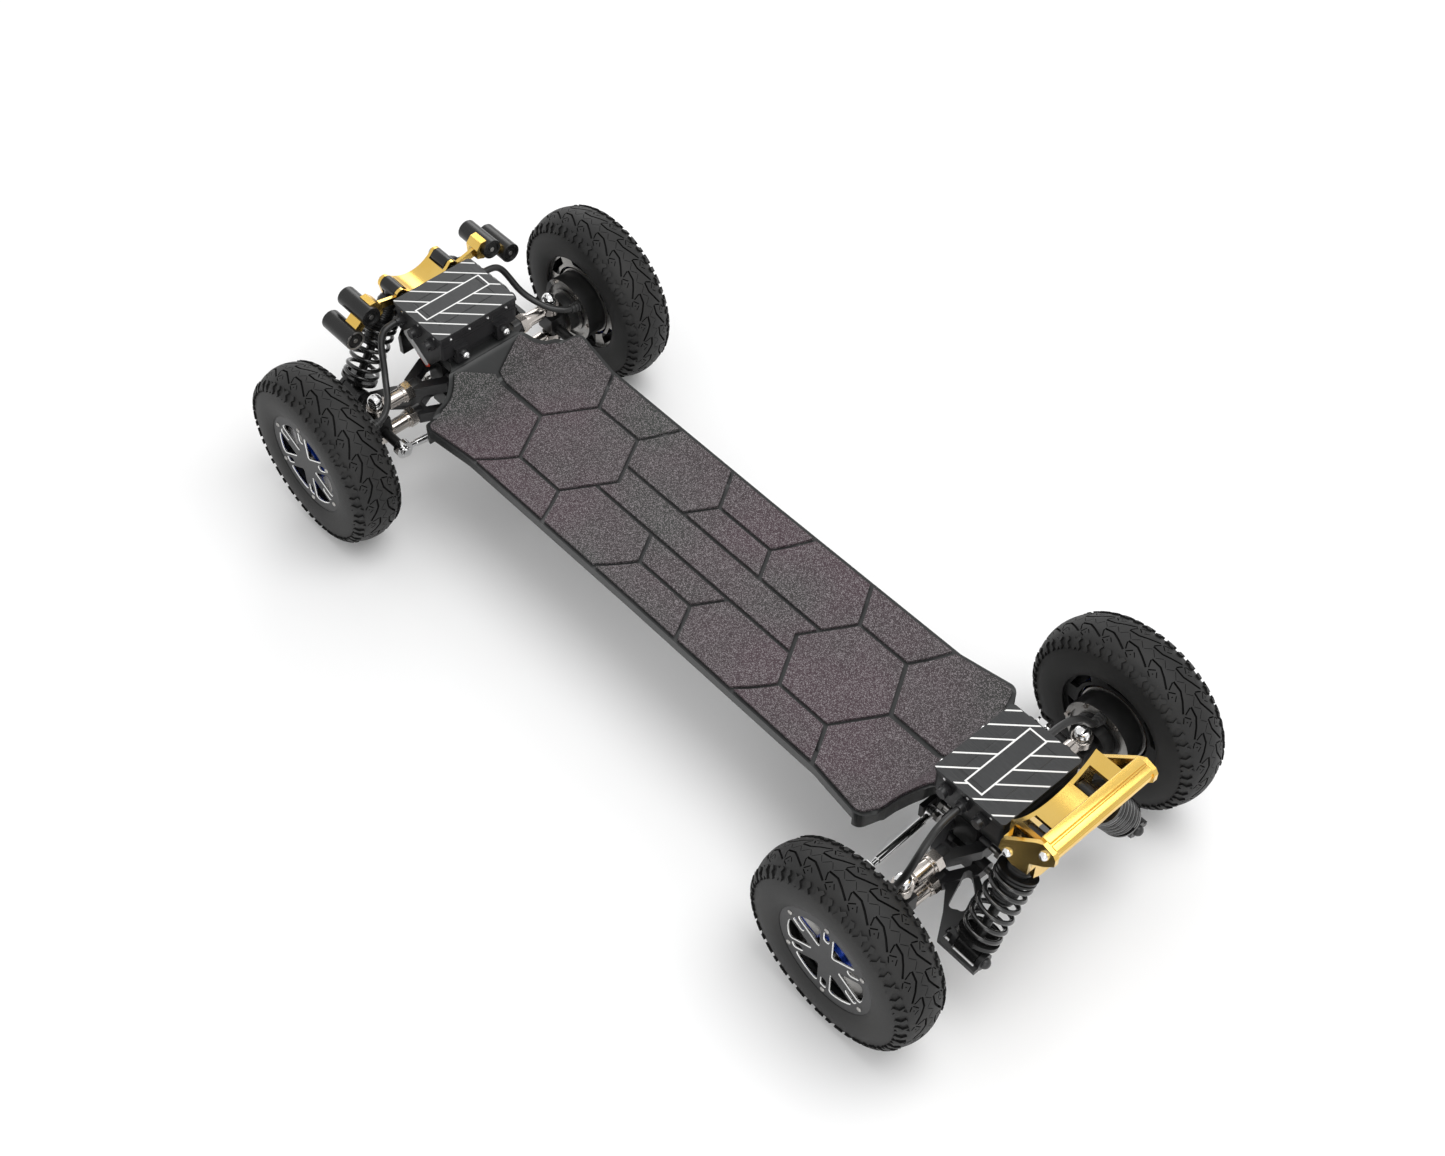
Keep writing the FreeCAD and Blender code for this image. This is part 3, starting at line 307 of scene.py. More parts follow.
def dome_bolt(bm, point, axis, r, height):
    """Round head with a hexagon socket, standing on point; height is a share of its radius."""
    h = r * height
    socket = r * 0.40
    profile = [(r * 0.98, -0.3), (r, 0.0)]
    for a in (15, 30, 45, 58, 68):
        profile.append((r * math.cos(math.radians(a)) ** 0.9, h * math.sin(math.radians(a))))
    profile += [(socket, h * 0.985, 6), (socket * 0.94, h * 0.93, 6), (socket * 0.94, h * 0.3, 6),
                (socket * 0.3, h * 0.22, 6)]
    turned(bm, facing(point, axis), profile, 36)


def cap_screw(bm, point, axis, r, h):
    """Cylinder head with a hexagon socket."""
    socket = r * 0.5
    profile = [(r, -0.2), (r, h - 0.12 * r), (r * 0.88, h), (socket, h, 6), (socket * 0.95, h - 0.1 * r, 6),
               (socket * 0.95, h * 0.35, 6), (socket * 0.3, h * 0.3, 6)]
    turned(bm, facing(point, axis), profile, 24)


def plate(outlines, z0, z1, edge=0.0):
    """Flat plate with holes from closed outlines in XY, its edges chamfered by edge, as a mesh."""
    data = bpy.data.curves.new("plate", "CURVE")
    data.dimensions, data.fill_mode = "2D", "BOTH"
    data.extrude = (z1 - z0) / 2 - edge
    data.bevel_depth, data.bevel_resolution, data.offset = edge, 0, -edge
    for outline in outlines:
        spline = data.splines.new("POLY")
        spline.points.add(len(outline) - 1)
        for p, (x, y) in zip(spline.points, outline):
            p.co = (x, y, 0, 1)
        spline.use_cyclic_u = True
    ob = bpy.data.objects.new("plate", data)
    bpy.context.scene.collection.objects.link(ob)
    depsgraph = bpy.context.evaluated_depsgraph_get()
    mesh = bpy.data.meshes.new_from_object(ob.evaluated_get(depsgraph))
    bm = bmesh.new()
    bm.from_mesh(mesh)
    bpy.data.objects.remove(ob)
    bpy.data.meshes.remove(mesh)
    bmesh.ops.remove_doubles(bm, verts=bm.verts, dist=1e-4)
    bmesh.ops.translate(bm, verts=bm.verts, vec=(0, 0, (z0 + z1) / 2))
    return bm


def rounded(points, radius):
    """Polygon with its corners rounded; radius is one number or one for each corner."""
    steps = 6
    out = []
    n = len(points)
    for i, p in enumerate(points):
        p, a, b = Vector(p), Vector(points[i - 1]), Vector(points[(i + 1) % n])
        u, w = (a - p).normalized(), (b - p).normalized()
        r = radius[i] if isinstance(radius, (list, tuple)) else radius
        half = math.acos(max(-1, min(1, u.dot(w)))) / 2
        if r <= 0 or half > math.radians(89):
            out.append(p)
            continue
        reach = min(r / math.tan(half), 0.48 * (a - p).length, 0.48 * (b - p).length)
        r = reach * math.tan(half)
        centre = p + (u + w).normalized() * (r / math.sin(half))
        start, end = p + u * reach - centre, p + w * reach - centre
        turn = start.angle_signed(end)
        for k in range(steps + 1):
            spin = Matrix.Rotation(-turn * k / steps, 2)
            out.append(centre + spin @ start)
    return [(q.x, q.y) for q in out]


def join(target, source):
    """Adds one mesh's contents to another."""
    mesh = bpy.data.meshes.new("part")
    source.to_mesh(mesh)
    source.free()
    target.from_mesh(mesh)
    bpy.data.meshes.remove(mesh)


def sweep(bm, path, radius, sides):
    """Round tube along a path of points."""
    last = len(path) - 1
    tangents = [(path[min(i + 1, last)] - path[max(i - 1, 0)]).normalized() for i in range(last + 1)]
    side = tangents[0].orthogonal().normalized()
    rings = []
    for p, t in zip(path, tangents):
        side = (side - t * side.dot(t)).normalized()
        up = t.cross(side)
        rings.append([p + radius * (x * side + y * up) for x, y in circle(1, sides)])
    loft(bm, rings)


def smooth_path(points, steps):
    """About that many points along the NURBS curve that has these control points."""
    data = bpy.data.curves.new("path", "CURVE")
    data.dimensions = "3D"
    spline = data.splines.new("NURBS")
    spline.points.add(len(points) - 1)
    for p, co in zip(spline.points, points):
        p.co = (*co, 1)
    spline.order_u = 3
    spline.use_endpoint_u = True
    spline.resolution_u = max(2, steps // len(points))
    ob = bpy.data.objects.new("path", data)
    bpy.context.scene.collection.objects.link(ob)
    mesh = bpy.data.meshes.new_from_object(ob.evaluated_get(bpy.context.evaluated_depsgraph_get()))
    out = [v.co.copy() for v in mesh.vertices]
    bpy.data.objects.remove(ob)
    bpy.data.meshes.remove(mesh)
    return out


# ---- tyres ---------------------------------------------------------------------------------------
TYRE_R = (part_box("tyre_fl")[1].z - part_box("tyre_fl")[0].z) / (2 * MM)
PITCHES = 23                       # tread patterns round the tyre
PITCH = 2 * math.pi * TYRE_R / PITCHES
COLUMNS = PITCHES * 6              # columns of faces round the tyre
CROWN_R = 49.5                     # radius of the tread across the tyre
STAGGER = 10.0                     # how far round the right half's tread is from the left half's


def tyre_profile():
    """Half section from the middle of the tread to the rim, as (across, radius)."""
    crown = []
    for degrees in range(0, 41, 4):
        a = math.radians(degrees)
        crown.append((CROWN_R * math.sin(a), TYRE_R - CROWN_R + CROWN_R * math.cos(a)))
    side = [(33.4, -13.6), (34.7, -15.6), (35.5, -18.4), (36.1, -22), (36.7, -26), (37.2, -31), (37.4, -36),
            (37.2, -41), (36.7, -45.0), (35.9, -48.6), (34.8, -51.8), (33.7, -54.2), (33.0, -55.6),
            (32.4, -56.2), (32.4, -55.0), (29.0, -53.4)]
    return crown + [(y, TYRE_R + dr) for y, dr in side]


PROFILE = tyre_profile()
ARC = [0.0]                        # distance of each profile point from the middle, along the tyre's skin
for (y0, r0), (y1, r1) in zip(PROFILE, PROFILE[1:]):
    ARC.append(ARC[-1] + math.hypot(y1 - y0, r1 - r0))
SHEET_EDGE = 17                    # profile point where the cut tread ends and the plain wall starts
BAND = (round(ARC[7], 6), round(ARC[15], 6))    # the shoulder, between two rows of the sheet


def profile_normal(i):
    """Direction out of the tyre's skin at a profile point."""
    if i == 0:
        return Vector((0, 1))
    a, b = PROFILE[i - 1], PROFILE[min(i + 1, len(PROFILE) - 1)]
    t = Vector((b[0] - a[0], b[1] - a[1])).normalized()
    return Vector((-t.y, t.x))


NORMALS = [profile_normal(i) for i in range(len(PROFILE))]


def on_tyre(u, v, w):
    """Point on the tyre: u round it, v across it from the middle, w out of its surface."""
    side, s = (1, v) if v >= 0 else (-1, -v)
    i = max(k for k in range(len(ARC) - 1) if ARC[k] <= s + 1e-9)
    t = (s - ARC[i]) / (ARC[i + 1] - ARC[i])
    y = PROFILE[i][0] * (1 - t) + PROFILE[i + 1][0] * t
    r = PROFILE[i][1] * (1 - t) + PROFILE[i + 1][1] * t
    n = (NORMALS[i] * (1 - t) + NORMALS[i + 1] * t).normalized()
    y, r = y + n.x * w, r + n.y * w
    a = u / TYRE_R
    return Vector((r * math.cos(a), side * y, r * math.sin(a)))


def stroke(points, width):
    """Outline of a line of that width."""
    pts = [Vector(p) for p in points]
    left, right = [], []
    for i, p in enumerate(pts):
        a = (p - pts[i - 1]).normalized() if i else (pts[1] - p).normalized()
        b = (pts[i + 1] - p).normalized() if i < len(pts) - 1 else a
        n = Vector((-(a + b).y, (a + b).x)).normalized()
        reach = width / 2 / max(0.5, n.dot(Vector((-a.y, a.x))))
        left.append(p + n * reach)
        right.append(p - n * reach)
    return [tuple(p) for p in left + right[::-1]]


def tread_grooves():
    """Grooves of one pitch on one side: (outline, depth)."""
    deep, mid = 3.3, 2.6
    return [
        (stroke([(0, 7.0), (13.3, 7.2), (24, 12.4), (36.5, 19.3)], 2.5), deep),
        (stroke([(-0.2, 8.4), (1.6, 12.5), (4.0, 17.2)], 1.7), deep),
        (stroke([(5.6, 19.3), (12.0, 13.6)], 1.5), mid),
        (stroke([(6.2, 20.6), (12.6, 24.2)], 1.5), mid),
        (stroke([(14.6, 14.6), (19.2, 19.4)], 1.2), mid),
        ([(12.2, 18.6), (13.6, 18.6), (13.6, 20.2), (12.2, 20.2)], mid),
    ]


SHOULDER, KNOB = 100, 200          # marks, used like depths, of the sunk band and the knobs standing in it
BAND_DEPTH, KNOB_HEIGHT = 0.6, 2.1
KNOBS = [[(2.0, 27.5), (6.5, 30.5), (10.5, 26.5), (15.0, 28.5), (12.0, 33.0), (16.0, 38.0), (12.5, 42.5),
          (8.5, 38.5), (4.0, 42.5), (0.5, 39.0), (4.5, 33.5)],
         [(21.0, 29.0), (26.0, 27.5), (29.5, 31.5), (27.0, 35.0), (30.5, 39.5), (26.5, 42.5), (22.0, 40.0),
          (24.0, 34.5)]]
SIPE_WIDTH, SIPE_DEPTH = 0.7, 0.9  # fine cuts along the middle


def shoulder_fade(v):
    """Share of the shoulder's depth at v: nothing at the tread's middle and on the side wall."""
    return max(0.0, min(1.0, (abs(v) - BAND[0]) / 3.0, (BAND[1] - abs(v)) / 6.0))


def tread_outlines():
    """Everything cut into the flat tread, all round: (outline, depth or mark)."""
    out = []
    for k in range(-2, PITCHES + 1):
        for outline, depth in tread_grooves() + [(knob, KNOB) for knob in KNOBS]:
            out.append(([(x + k * PITCH, y) for x, y in outline], depth))
            out.append(([(x + k * PITCH + STAGGER, -y) for x, y in outline], depth))
        for x in (0, PITCH / 2):
            u = k * PITCH + x + 3.0
            out.append((stroke([(u, 3.4), (u + 7.4, -3.6)], SIPE_WIDTH), SIPE_DEPTH))
            out.append((stroke([(u + 8.9, -3.4), (u + 15.6, 3.2)], SIPE_WIDTH), SIPE_DEPTH))
    length = PITCH * PITCHES
    for side in (1, -1):
        band = [(x, v * side) for x, v in ((0, BAND[0]), (length, BAND[0]), (length, BAND[1]), (0, BAND[1]))]
        out.append((band, SHOULDER))
    return out


def cut_sheet():
    """The flat tread, cut into triangles along its outlines: (points, [(triangle, depth or mark)])."""
    length, half = PITCH * PITCHES, round(ARC[SHEET_EDGE], 6)
    verts = [Vector(p) for p in ((0, -half), (length, -half), (length, half), (0, half))]
    faces, depths = [[0, 1, 2, 3]], [0.0]
    for outline, depth in tread_outlines():
        area = sum(a[0] * b[1] - b[0] * a[1] for a, b in zip(outline, outline[1:] + outline[:1]))
        outline = outline if area > 0 else outline[::-1]
        faces.append(list(range(len(verts), len(verts) + len(outline))))
        verts.extend(Vector(p) for p in outline)
        depths.append(depth)
    rows = sorted(set(round(s * a, 6) for s in (-1, 1) for a in ARC[:SHEET_EDGE + 1]))
    for i in range(COLUMNS + 1):
        for v in rows:
            verts.append(Vector((length * i / COLUMNS, v)))
    out = geometry.delaunay_2d_cdt(verts, [], faces, 1, 1e-4, True)
    points, tris, owners = out[0], out[2], out[5]
    return points, [(tri, max(depths[o] for o in owner)) for tri, owner in zip(tris, owners) if 0 in owner]


def build_walls(bm):
    """Plain side walls down to the rim, and the inner face between them."""
    angles = [2 * math.pi * i / COLUMNS for i in range(COLUMNS)]
    lips = []
    for side in (1, -1):
        rings = []
        for y, r in PROFILE[SHEET_EDGE:]:
            rings.append([bm.verts.new((r * math.cos(a), side * y, r * math.sin(a))) for a in angles])
        for a, b in zip(rings, rings[1:]):
            for i in range(COLUMNS):
                j = (i + 1) % COLUMNS
                quad = (a[i], a[j], b[j], b[i])
                bm.faces.new(quad if side > 0 else quad[::-1])
        lips.append(rings[-1])
    for i in range(COLUMNS):
        j = (i + 1) % COLUMNS
        bm.faces.new((lips[0][i], lips[0][j], lips[1][j], lips[1][i]))


def build_tyre():
    """Whole tyre about its own centre: the flat tread is cut along the grooves and knobs, their floors
    are sunk or raised, and the sheet is wrapped round the carcass."""
    points, triangles = cut_sheet()
    bm = bmesh.new()
    made, borders = {}, {}

    def vert(i, depth):
        if (i, depth) not in made:
            fade = shoulder_fade(points[i].y)
            sunk = {SHOULDER: BAND_DEPTH * fade, KNOB: -KNOB_HEIGHT * fade}.get(depth, depth)
            made[i, depth] = bm.verts.new(on_tyre(points[i].x, points[i].y, -sunk))
        return made[i, depth]
    for tri, depth in triangles:
        # groove and sipe floors take the darker rubber as painted shade
        bm.faces.new([vert(i, depth) for i in tri]).material_index = 1 if 0 < depth < SHOULDER else 0
        for i, j in zip(tri, tri[1:] + tri[:1]):
            borders.setdefault(frozenset((i, j)), []).append((i, j, depth))
    for pair in borders.values():
        if len(pair) == 2 and pair[0][2] != pair[1][2]:
            i, j, depth = pair[0]
            other = pair[1][2]
            wall = bm.faces.new((vert(j, depth), vert(i, depth), vert(i, other), vert(j, other)))
            # walls of grooves and knobs take the darker rubber as painted shade; walls round the shoulder
            # band keep the plain rubber
            wall.material_index = 0 if {depth, other} <= {0, SHOULDER} else 1
    build_walls(bm)
    bmesh.ops.remove_doubles(bm, verts=bm.verts, dist=0.02)
    bmesh.ops.recalc_face_normals(bm, faces=bm.faces)
    return bm


def copied(bm, matrix, flipped):
    """A copy of a mesh, moved by a matrix."""
    new = bm.copy()
    bmesh.ops.transform(new, matrix=matrix, verts=new.verts)
    if flipped:
        bmesh.ops.reverse_faces(new, faces=new.faces)
    return new


def wheel_matrix(sx, sy):
    """Places a front left wheel's piece, drawn in millimetres about its centre, on another corner."""
    centre = Vector(((AXLE_X * sx + SHIFT) * MM, WHEEL_Y * sy * MM, WHEEL_Z * MM))
    return Matrix.Translation(centre) @ Matrix.Diagonal((MM, MM * sy, MM, 1))


CAP_SPOKES = 6
SCREW_STAND = 1.5                  # how far the CAD cover's screw heads stand out of its face
CAP_THICK = 3.0
CAP_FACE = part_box("hub_cap_fl")[1].y / MM - SCREW_STAND - WHEEL_Y  # outer face from the tyre's middle
CAP_R = (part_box("hub_cap_fl")[1].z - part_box("hub_cap_fl")[0].z) / (2 * MM)
SPOKE_HALF, WINDOW_R = 10.0, 57.5  # half a spoke's width, and the windows' outer radius
CAP_SCREWS_R = 63.5                # radius of the circle of screws


def cap_outlines():
    """Disc, six wedge windows between the spokes, and a slot in the end of each spoke."""
    outlines = [circle(CAP_R, 144)]
    tip = SPOKE_HALF / math.sin(math.radians(30))
    swing = math.radians(30) - math.asin(SPOKE_HALF / WINDOW_R)
    wedge = [(tip, 0)]
    for t in (-swing, -swing / 2, 0, swing / 2, swing):
        wedge.append((WINDOW_R * math.cos(t), WINDOW_R * math.sin(t)))
    wedge = rounded(wedge, [2.0, 5.5, 0, 0, 0, 5.5])
    slot = rounded([(39.5, -3.7), (55.5, -3.7), (55.5, 3.7), (39.5, 3.7)], [3.6, 2.2, 2.2, 3.6])
    for k in range(CAP_SPOKES):
        for shape, degrees in ((wedge, 60 * k), (slot, 60 * k + 30)):
            turn = Matrix.Rotation(math.radians(degrees), 2)
            outlines.append([tuple(turn @ Vector(p)) for p in shape])
    return outlines


def build_cap():
    """Wheel cover about the wheel's centre, outer face towards +Y: (cover, its screws). The walls and
    chamfers of its openings are bright, its rim isn't."""
    bm = plate(cap_outlines(), -CAP_THICK, 0.0, edge=0.9)
    for f in bm.faces:
        opening = abs(f.normal.z) < 0.9 and f.calc_center_median().to_2d().length < CAP_R - 2
        f.material_index = 1 if opening else 0
    turn = Matrix.Rotation(math.radians(-90), 4, "X")
    bmesh.ops.transform(bm, matrix=Matrix.Translation((0, CAP_FACE, 0)) @ turn, verts=bm.verts)
    screws = bmesh.new()
    for k in range(CAP_SPOKES):
        a = math.radians(60 * k + 30)
        at = Vector((CAP_SCREWS_R * math.cos(a), CAP_FACE, CAP_SCREWS_R * math.sin(a)))
        dome_bolt(screws, at, (0, 1, 0), 3.4, 0.55)
    return bm, screws


BEARING_R = 18                     # the rim's bright bearing ends at this radius
CAN_R, CAN_INNER = 57.3, -20.5     # the turning half of the motor: its radius and its inner end


def rim_paint(p, n):
    r = math.hypot(p.x - AXLE_X, p.z - WHEEL_Z)
    if r < BEARING_R:
        return "steel"
    return "blue_can" if r < CAN_R and p.y - WHEEL_Y > CAN_INNER else "rim_black"


def make_wheels():
    tyre = build_tyre()
    cap, screws = build_cap()
    for tag, (sx, sy) in CORNERS.items():
        place, flipped = wheel_matrix(sx, sy), sy < 0
        body, tyre_node, cap_node = "wheel_" + tag, "tyre_" + tag, "hub_cap_" + tag
        # tyre: plain rubber, with the darker rubber as painted shade in the grooves and round the knobs
        piece("tyre_tread_" + tag, copied(tyre, place, flipped), ["rubber", "rubber_painted_shade"], body,
              [tyre_node], sharp=28)
        piece("hub_cover_" + tag, copied(cap, place, flipped), ["cap_grey", "machined"], body,
              [cap_node])
        piece("hub_screws_" + tag, copied(screws, place, flipped), ["steel"], body)
        dress("rim_" + tag, rim_paint, 0.8, (sx, sy))
    for bm in (tyre, cap, screws):
        bm.free()


# ---- deck ----------------------------------------------------------------------------------------
def make_deck():
    dress("deck", "deck_shell", 2.0)
    # grip pads: grit flecks, with painted sheen in the purple-brown to grey-green drift
    dress("grip_pads", "grit_and_painted_sheen", 1.0)


# ---- boxes and lids ------------------------------------------------------------------------------
STRIPE_GAP, STRIPE_SHIFT, STRIPE_W = 27.8, 12.0, 2.0
PANEL_HALF = (13.0, 52.0)          # white frame on each lid
PANEL_OFF = 3.5                    # its middle, from the lid's middle
LINE_LOW, LINE_HIGH = -0.2, 0.12   # the lines' heights from the lid's face
LID_MARGIN = 1.2                   # the lines end this far inside the lid's edge


def clip(points, a, b, c):
    """Keeps the part of a convex polygon where a*x + b*y <= c."""
    out = []
    for (x0, y0), (x1, y1) in zip(points, points[1:] + points[:1]):
        d0, d1 = a * x0 + b * y0 - c, a * x1 + b * y1 - c
        if d0 <= 0:
            out.append((x0, y0))
        if d0 * d1 < 0:
            t = d0 / (d0 - d1)
            out.append((x0 + t * (x1 - x0), y0 + t * (y1 - y0)))
    return out


def lid_lines(half_x, half_y):
    """Outlines of the diagonal lines on a lid, kept out of the frame in its middle."""
    px, py = PANEL_HALF
    far = 200                      # past any edge of a lid
    out = []
    for n in range(-5, 6):
        k = STRIPE_SHIFT + STRIPE_GAP * n
        w = STRIPE_W / math.sqrt(2)
        band = [(-far, -far + k - w), (far, far + k - w), (far, far + k + w), (-far, -far + k + w)]
        for a, b, c in ((1, 0, half_x), (-1, 0, half_x), (0, 1, half_y), (0, -1, half_y)):
            band = clip(band, a, b, c)
        if len(band) < 3:
            continue
        left, right = clip(band, 1, 0, PANEL_OFF - px), clip(band, -1, 0, -PANEL_OFF - px)
        mid = clip(clip(band, 1, 0, PANEL_OFF + px), -1, 0, px - PANEL_OFF)
        for part in (left, right, clip(mid, 0, 1, -py), clip(mid, 0, -1, -py)):
            if len(part) > 2:
                out.append(part)
    return out


def make_lids():
    px, py = PANEL_HALF
    for end in ENDS:
        node = end + "_lid"
        low, high = span(node)
        centre = (low + high) / 2
        bm = bmesh.new()
        for part in lid_lines((high.x - low.x) / 2 - LID_MARGIN, (high.y - low.y) / 2 - LID_MARGIN):
            loft(bm, [[(x, y, z) for x, y in part] for z in (LINE_LOW, LINE_HIGH)])
        frames = []
        for e in (0, -STRIPE_W):
            corners = ((-px - e, -py - e), (px + e, -py - e), (px + e, py + e), (-px - e, py + e))
            frames.append([(PANEL_OFF + x, y) for x, y in corners])
        join(bm, plate(frames, LINE_LOW, LINE_HIGH))
        bmesh.ops.translate(bm, verts=bm.verts, vec=(centre.x, centre.y, high.z))
        piece(end + "_lid_lines", finished(bm), ["white_line"], "chassis")
        dress(node, "lid_grey", 0.8)


SEAMS = ((8.5, 0.7), (13.5, 0.5))  # dark lines round a box: depth below the lid, and height
SEAM_STAND = 0.35                  # how far they stand out of the box's ends
SCREW_DROP = 4.0                   # lid screws, below the lid
CLAMP_DOME = (11.6, 33, 31)        # clamp block domes: from the box's end, from its middle, below the lid


def box_seams(near, far, half_y, top, sx):
    """Dark lines round a box, standing just out of it."""
    bm = bmesh.new()
    near, far = near + 1.0 - SEAM_STAND, far - 1.0 + SEAM_STAND
    outline = rounded([(near, -half_y), (far, -half_y), (far, half_y), (near, half_y)], 5.0)
    for drop, size in SEAMS:
        loft(bm, [[(x * sx, y, top - drop + dz) for x, y in outline] for dz in (0, size)])
    return bm


def box_screws(near, half_y, top, sx):
    """Lid screws along the deck side and both flanks, and the domes of the two clamp blocks."""
    bm = bmesh.new()
    for i in range(4):
        at = Vector(((near + 1.0) * sx, -45 + 30 * i, top - SCREW_DROP))
        cap_screw(bm, at, (-sx, 0, 0), 2.0, 1.2)
    back, across, drop = CLAMP_DOME
    for side in (1, -1):
        for i in range(3):
            at = Vector(((near + 16 + 34 * i) * sx, side * (half_y + 0.05), top - SCREW_DROP))
            cap_screw(bm, at, (0, side, 0), 1.8, 1.0)
        dome_bolt(bm, Vector(((near - back) * sx, side * across, top - drop)), (-sx, 0, 0), 5.2, 0.75)
    return bm


GUSSET = [(0, 34), (98, 34), (98, -8), (76, -5), (40, -31), (31, -28), (3, 2)]
MARKER = [(36, -31.5), (42, -36.5), (83, -10), (86, -4.5), (70, 11), (63, 5), (72, -3.5)]
MARKER_EDGE = [(34, -33.5), (42.5, -39.5), (62, -27), (60, -23)]
FLANK_PARTS = (("gusset", GUSSET, 3.0, (-2.5, 0.4), "box_black", 0.5),
               ("marker", MARKER, 3.0, (0.2, 2.0), "silver", 0.5),
               ("marker_edge", MARKER_EDGE, 1.5, (-0.8, 1.2), "red_accent", 0.3))
FLANK_AT = (101, 34)               # those outlines' origin, from the front box's far top edge


def make_flanks():
    """Gusset and bent silver marker, with its red edge, on both sides of the front box."""
    high = span("front_box")[1]
    x0, z0 = high.x - FLANK_AT[0], high.z - FLANK_AT[1]
    for side in (1, -1):
        for part, shape, corner_r, (inner, outer), mat, edge in FLANK_PARTS:
            bm = plate([rounded(shape, corner_r)], inner, outer, edge)
            for v in bm.verts:
                v.co = Vector(((x0 + v.co.x) * MM, side * (high.y + v.co.z) * MM, (z0 + v.co.y) * MM))
            bmesh.ops.recalc_face_normals(bm, faces=bm.faces)
            name = "front_%s_%s" % (part, "lr"[side < 0])
            piece(name, bm, [mat], "chassis")


def make_boxes():
    for end, sx in ENDS.items():
        node = end + "_box"
        dress(node, "box_black", 0.8, (sx, 1))
        low, high = span(end + "_lid")
        near, far = sorted((low.x * sx, high.x * sx))
        half_y, top = (high.y - low.y) / 2 - 2.0, low.z
        seams, screws = box_seams(near, far, half_y, top, sx), box_screws(near, half_y, top, sx)
        piece(end + "_seams", finished(seams), ["seam_black"], "chassis")
        piece(end + "_screws", finished(screws), ["chrome"], "chassis")
    make_flanks()


# ---- gold parts, arms and the rest ---------------------------------------------------------------
END_PLATE_Y = 80.01                # the rear tower's bolt heads are outside this
LAMP_R, LAMP_GAP = 14.0, 29.0      # a headlight's radius, and the two of a side from each other
LENS_R, LENS_DEEP = 11.6, 5.0
BUTTON_R = 3.6                     # switch in a headlight's back end
LAMPS = span("headlights")
LAMP_CENTRES = ((LAMPS[1].y - LAMP_R, LAMPS[0].z + LAMP_R),
                (LAMPS[1].y - LAMP_R - LAMP_GAP, LAMPS[1].z - LAMP_R))


def rear_tower_paint(p, n):
    bolts = p.y > END_PLATE_Y and n.y > -0.9 or p.y < -END_PLATE_Y
    return "chrome" if bolts else "gold"


def lamp_paint(p, n):
    x = p.x + SHIFT
    r = min(math.hypot(abs(p.y) - y, p.z - z) for y, z in LAMP_CENTRES)
    if x > LAMPS[1].x - LENS_DEEP and r < LENS_R:
        return "lens"
    return "steel" if x < LAMPS[0].x + 0.2 and r < BUTTON_R else "lamp_black"


def make_metalwork():
    for end, sx in ENDS.items():
        dress(end + "_bulkhead", "black_metal", 0.8, (sx, 1))
    dress("front_tower", "gold", 0.7)
    dress("rear_tower", rear_tower_paint, 0.7, (-1, 1))
    dress("bumper_bar", "gold", 0.6)
    dress("chassis_fasteners", "steel", 0.4)
    dress("cable_glands", "box_black", 0.5)
    dress("headlights", lamp_paint, 0.8)


ROD_END = (91.9, 14.5)             # an arm's bright end: from this y outwards, this near the axle's x
STATOR_Y = 205.6                   # the windings start here
AXLE_R, AXLE_Y = 10.5, 158         # the axle's radius, and where it comes out of the knuckle
DRUM_FACE = (170, 175.95)          # the motor's screw heads lie between these y
DRUM_SCREWS = (40, 50)             # and between these radii
BALL_STUD = (442, 147, 118, 8.2)   # behind this x, round this y and z, within this radius


def arm_paint(p, n):
    return "nickel" if p.y > ROD_END[0] and abs(p.x - AXLE_X) < ROD_END[1] else "arm_black"


def knuckle_paint(p, n):
    r = math.hypot(p.x - AXLE_X, p.z - WHEEL_Z)
    stud_x, stud_y, stud_z, stud_r = BALL_STUD
    if p.y > STATOR_Y and r > AXLE_R:
        return "stator"
    if DRUM_FACE[0] < p.y < DRUM_FACE[1] and DRUM_SCREWS[0] < r < DRUM_SCREWS[1]:
        return "nickel"
    if r < AXLE_R and p.y > AXLE_Y:
        return "steel"
    if p.x < stud_x and math.hypot(p.y - stud_y, p.z - stud_z) < stud_r:
        return "chrome"
    return "black_metal"


KING_DOME = {1: 10.0, -1: 4.8}     # height of the dome on a kingpin: the rear leads pass low over theirs
KING_DOME_R = 10.0


def make_king_dome(tag, sx):
    """Dome on the kingpin's head."""
    node = "kingpin_" + tag
    place = facing(Vector((*middle(node).to_2d(), span(node)[1].z - 4.0)), (0, 0, 1))
    profile = [(0.01, 0), (9.4, 0)]
    for degrees in range(0, 90, 9):
        a = math.radians(degrees)
        profile.append((KING_DOME_R * math.cos(a), 0.8 + KING_DOME[sx] * math.sin(a)))
    profile.append((0.01, 0.8 + KING_DOME[sx]))
    bm = bmesh.new()
    turned(bm, place, profile, 40)
    piece("king_dome_" + tag, finished(bm), ["chrome"], node)


def make_corners():
    for tag, corner in CORNERS.items():
        for arm in ("lower_arm_", "upper_arm_"):
            dress(arm + tag, arm_paint, 0.8, corner)
        dress("kingpin_" + tag, "chrome", 0.0, corner)
        make_king_dome(tag, corner[0])
        dress("knuckle_" + tag, knuckle_paint, 0.6, corner)
        dress("tie_rod_" + tag, "chrome", 0.5, corner)
        dress("shock_body_" + tag, "shock_black", 0.0, corner)
        dress("shock_rod_" + tag, "shock_black", 0.6, corner)


# ---- springs and motor leads ---------------------------------------------------------------------
SHOCK_LEN = 158.7                  # from the lower eye to the upper eye
SPRING_S = (23.0, 108.0)           # the spring's ends, above the lower eye
COIL_R, WIRE_R, TURNS, TURN_STEPS = 22.0, 3.0, 6.0, 40
SEAT_GAP = 0.2                     # between the wire's ends and their seats
CLOSED, CLOSED_RISE = 0.13, 0.075  # each end of the spring: share of its turns, and of its height
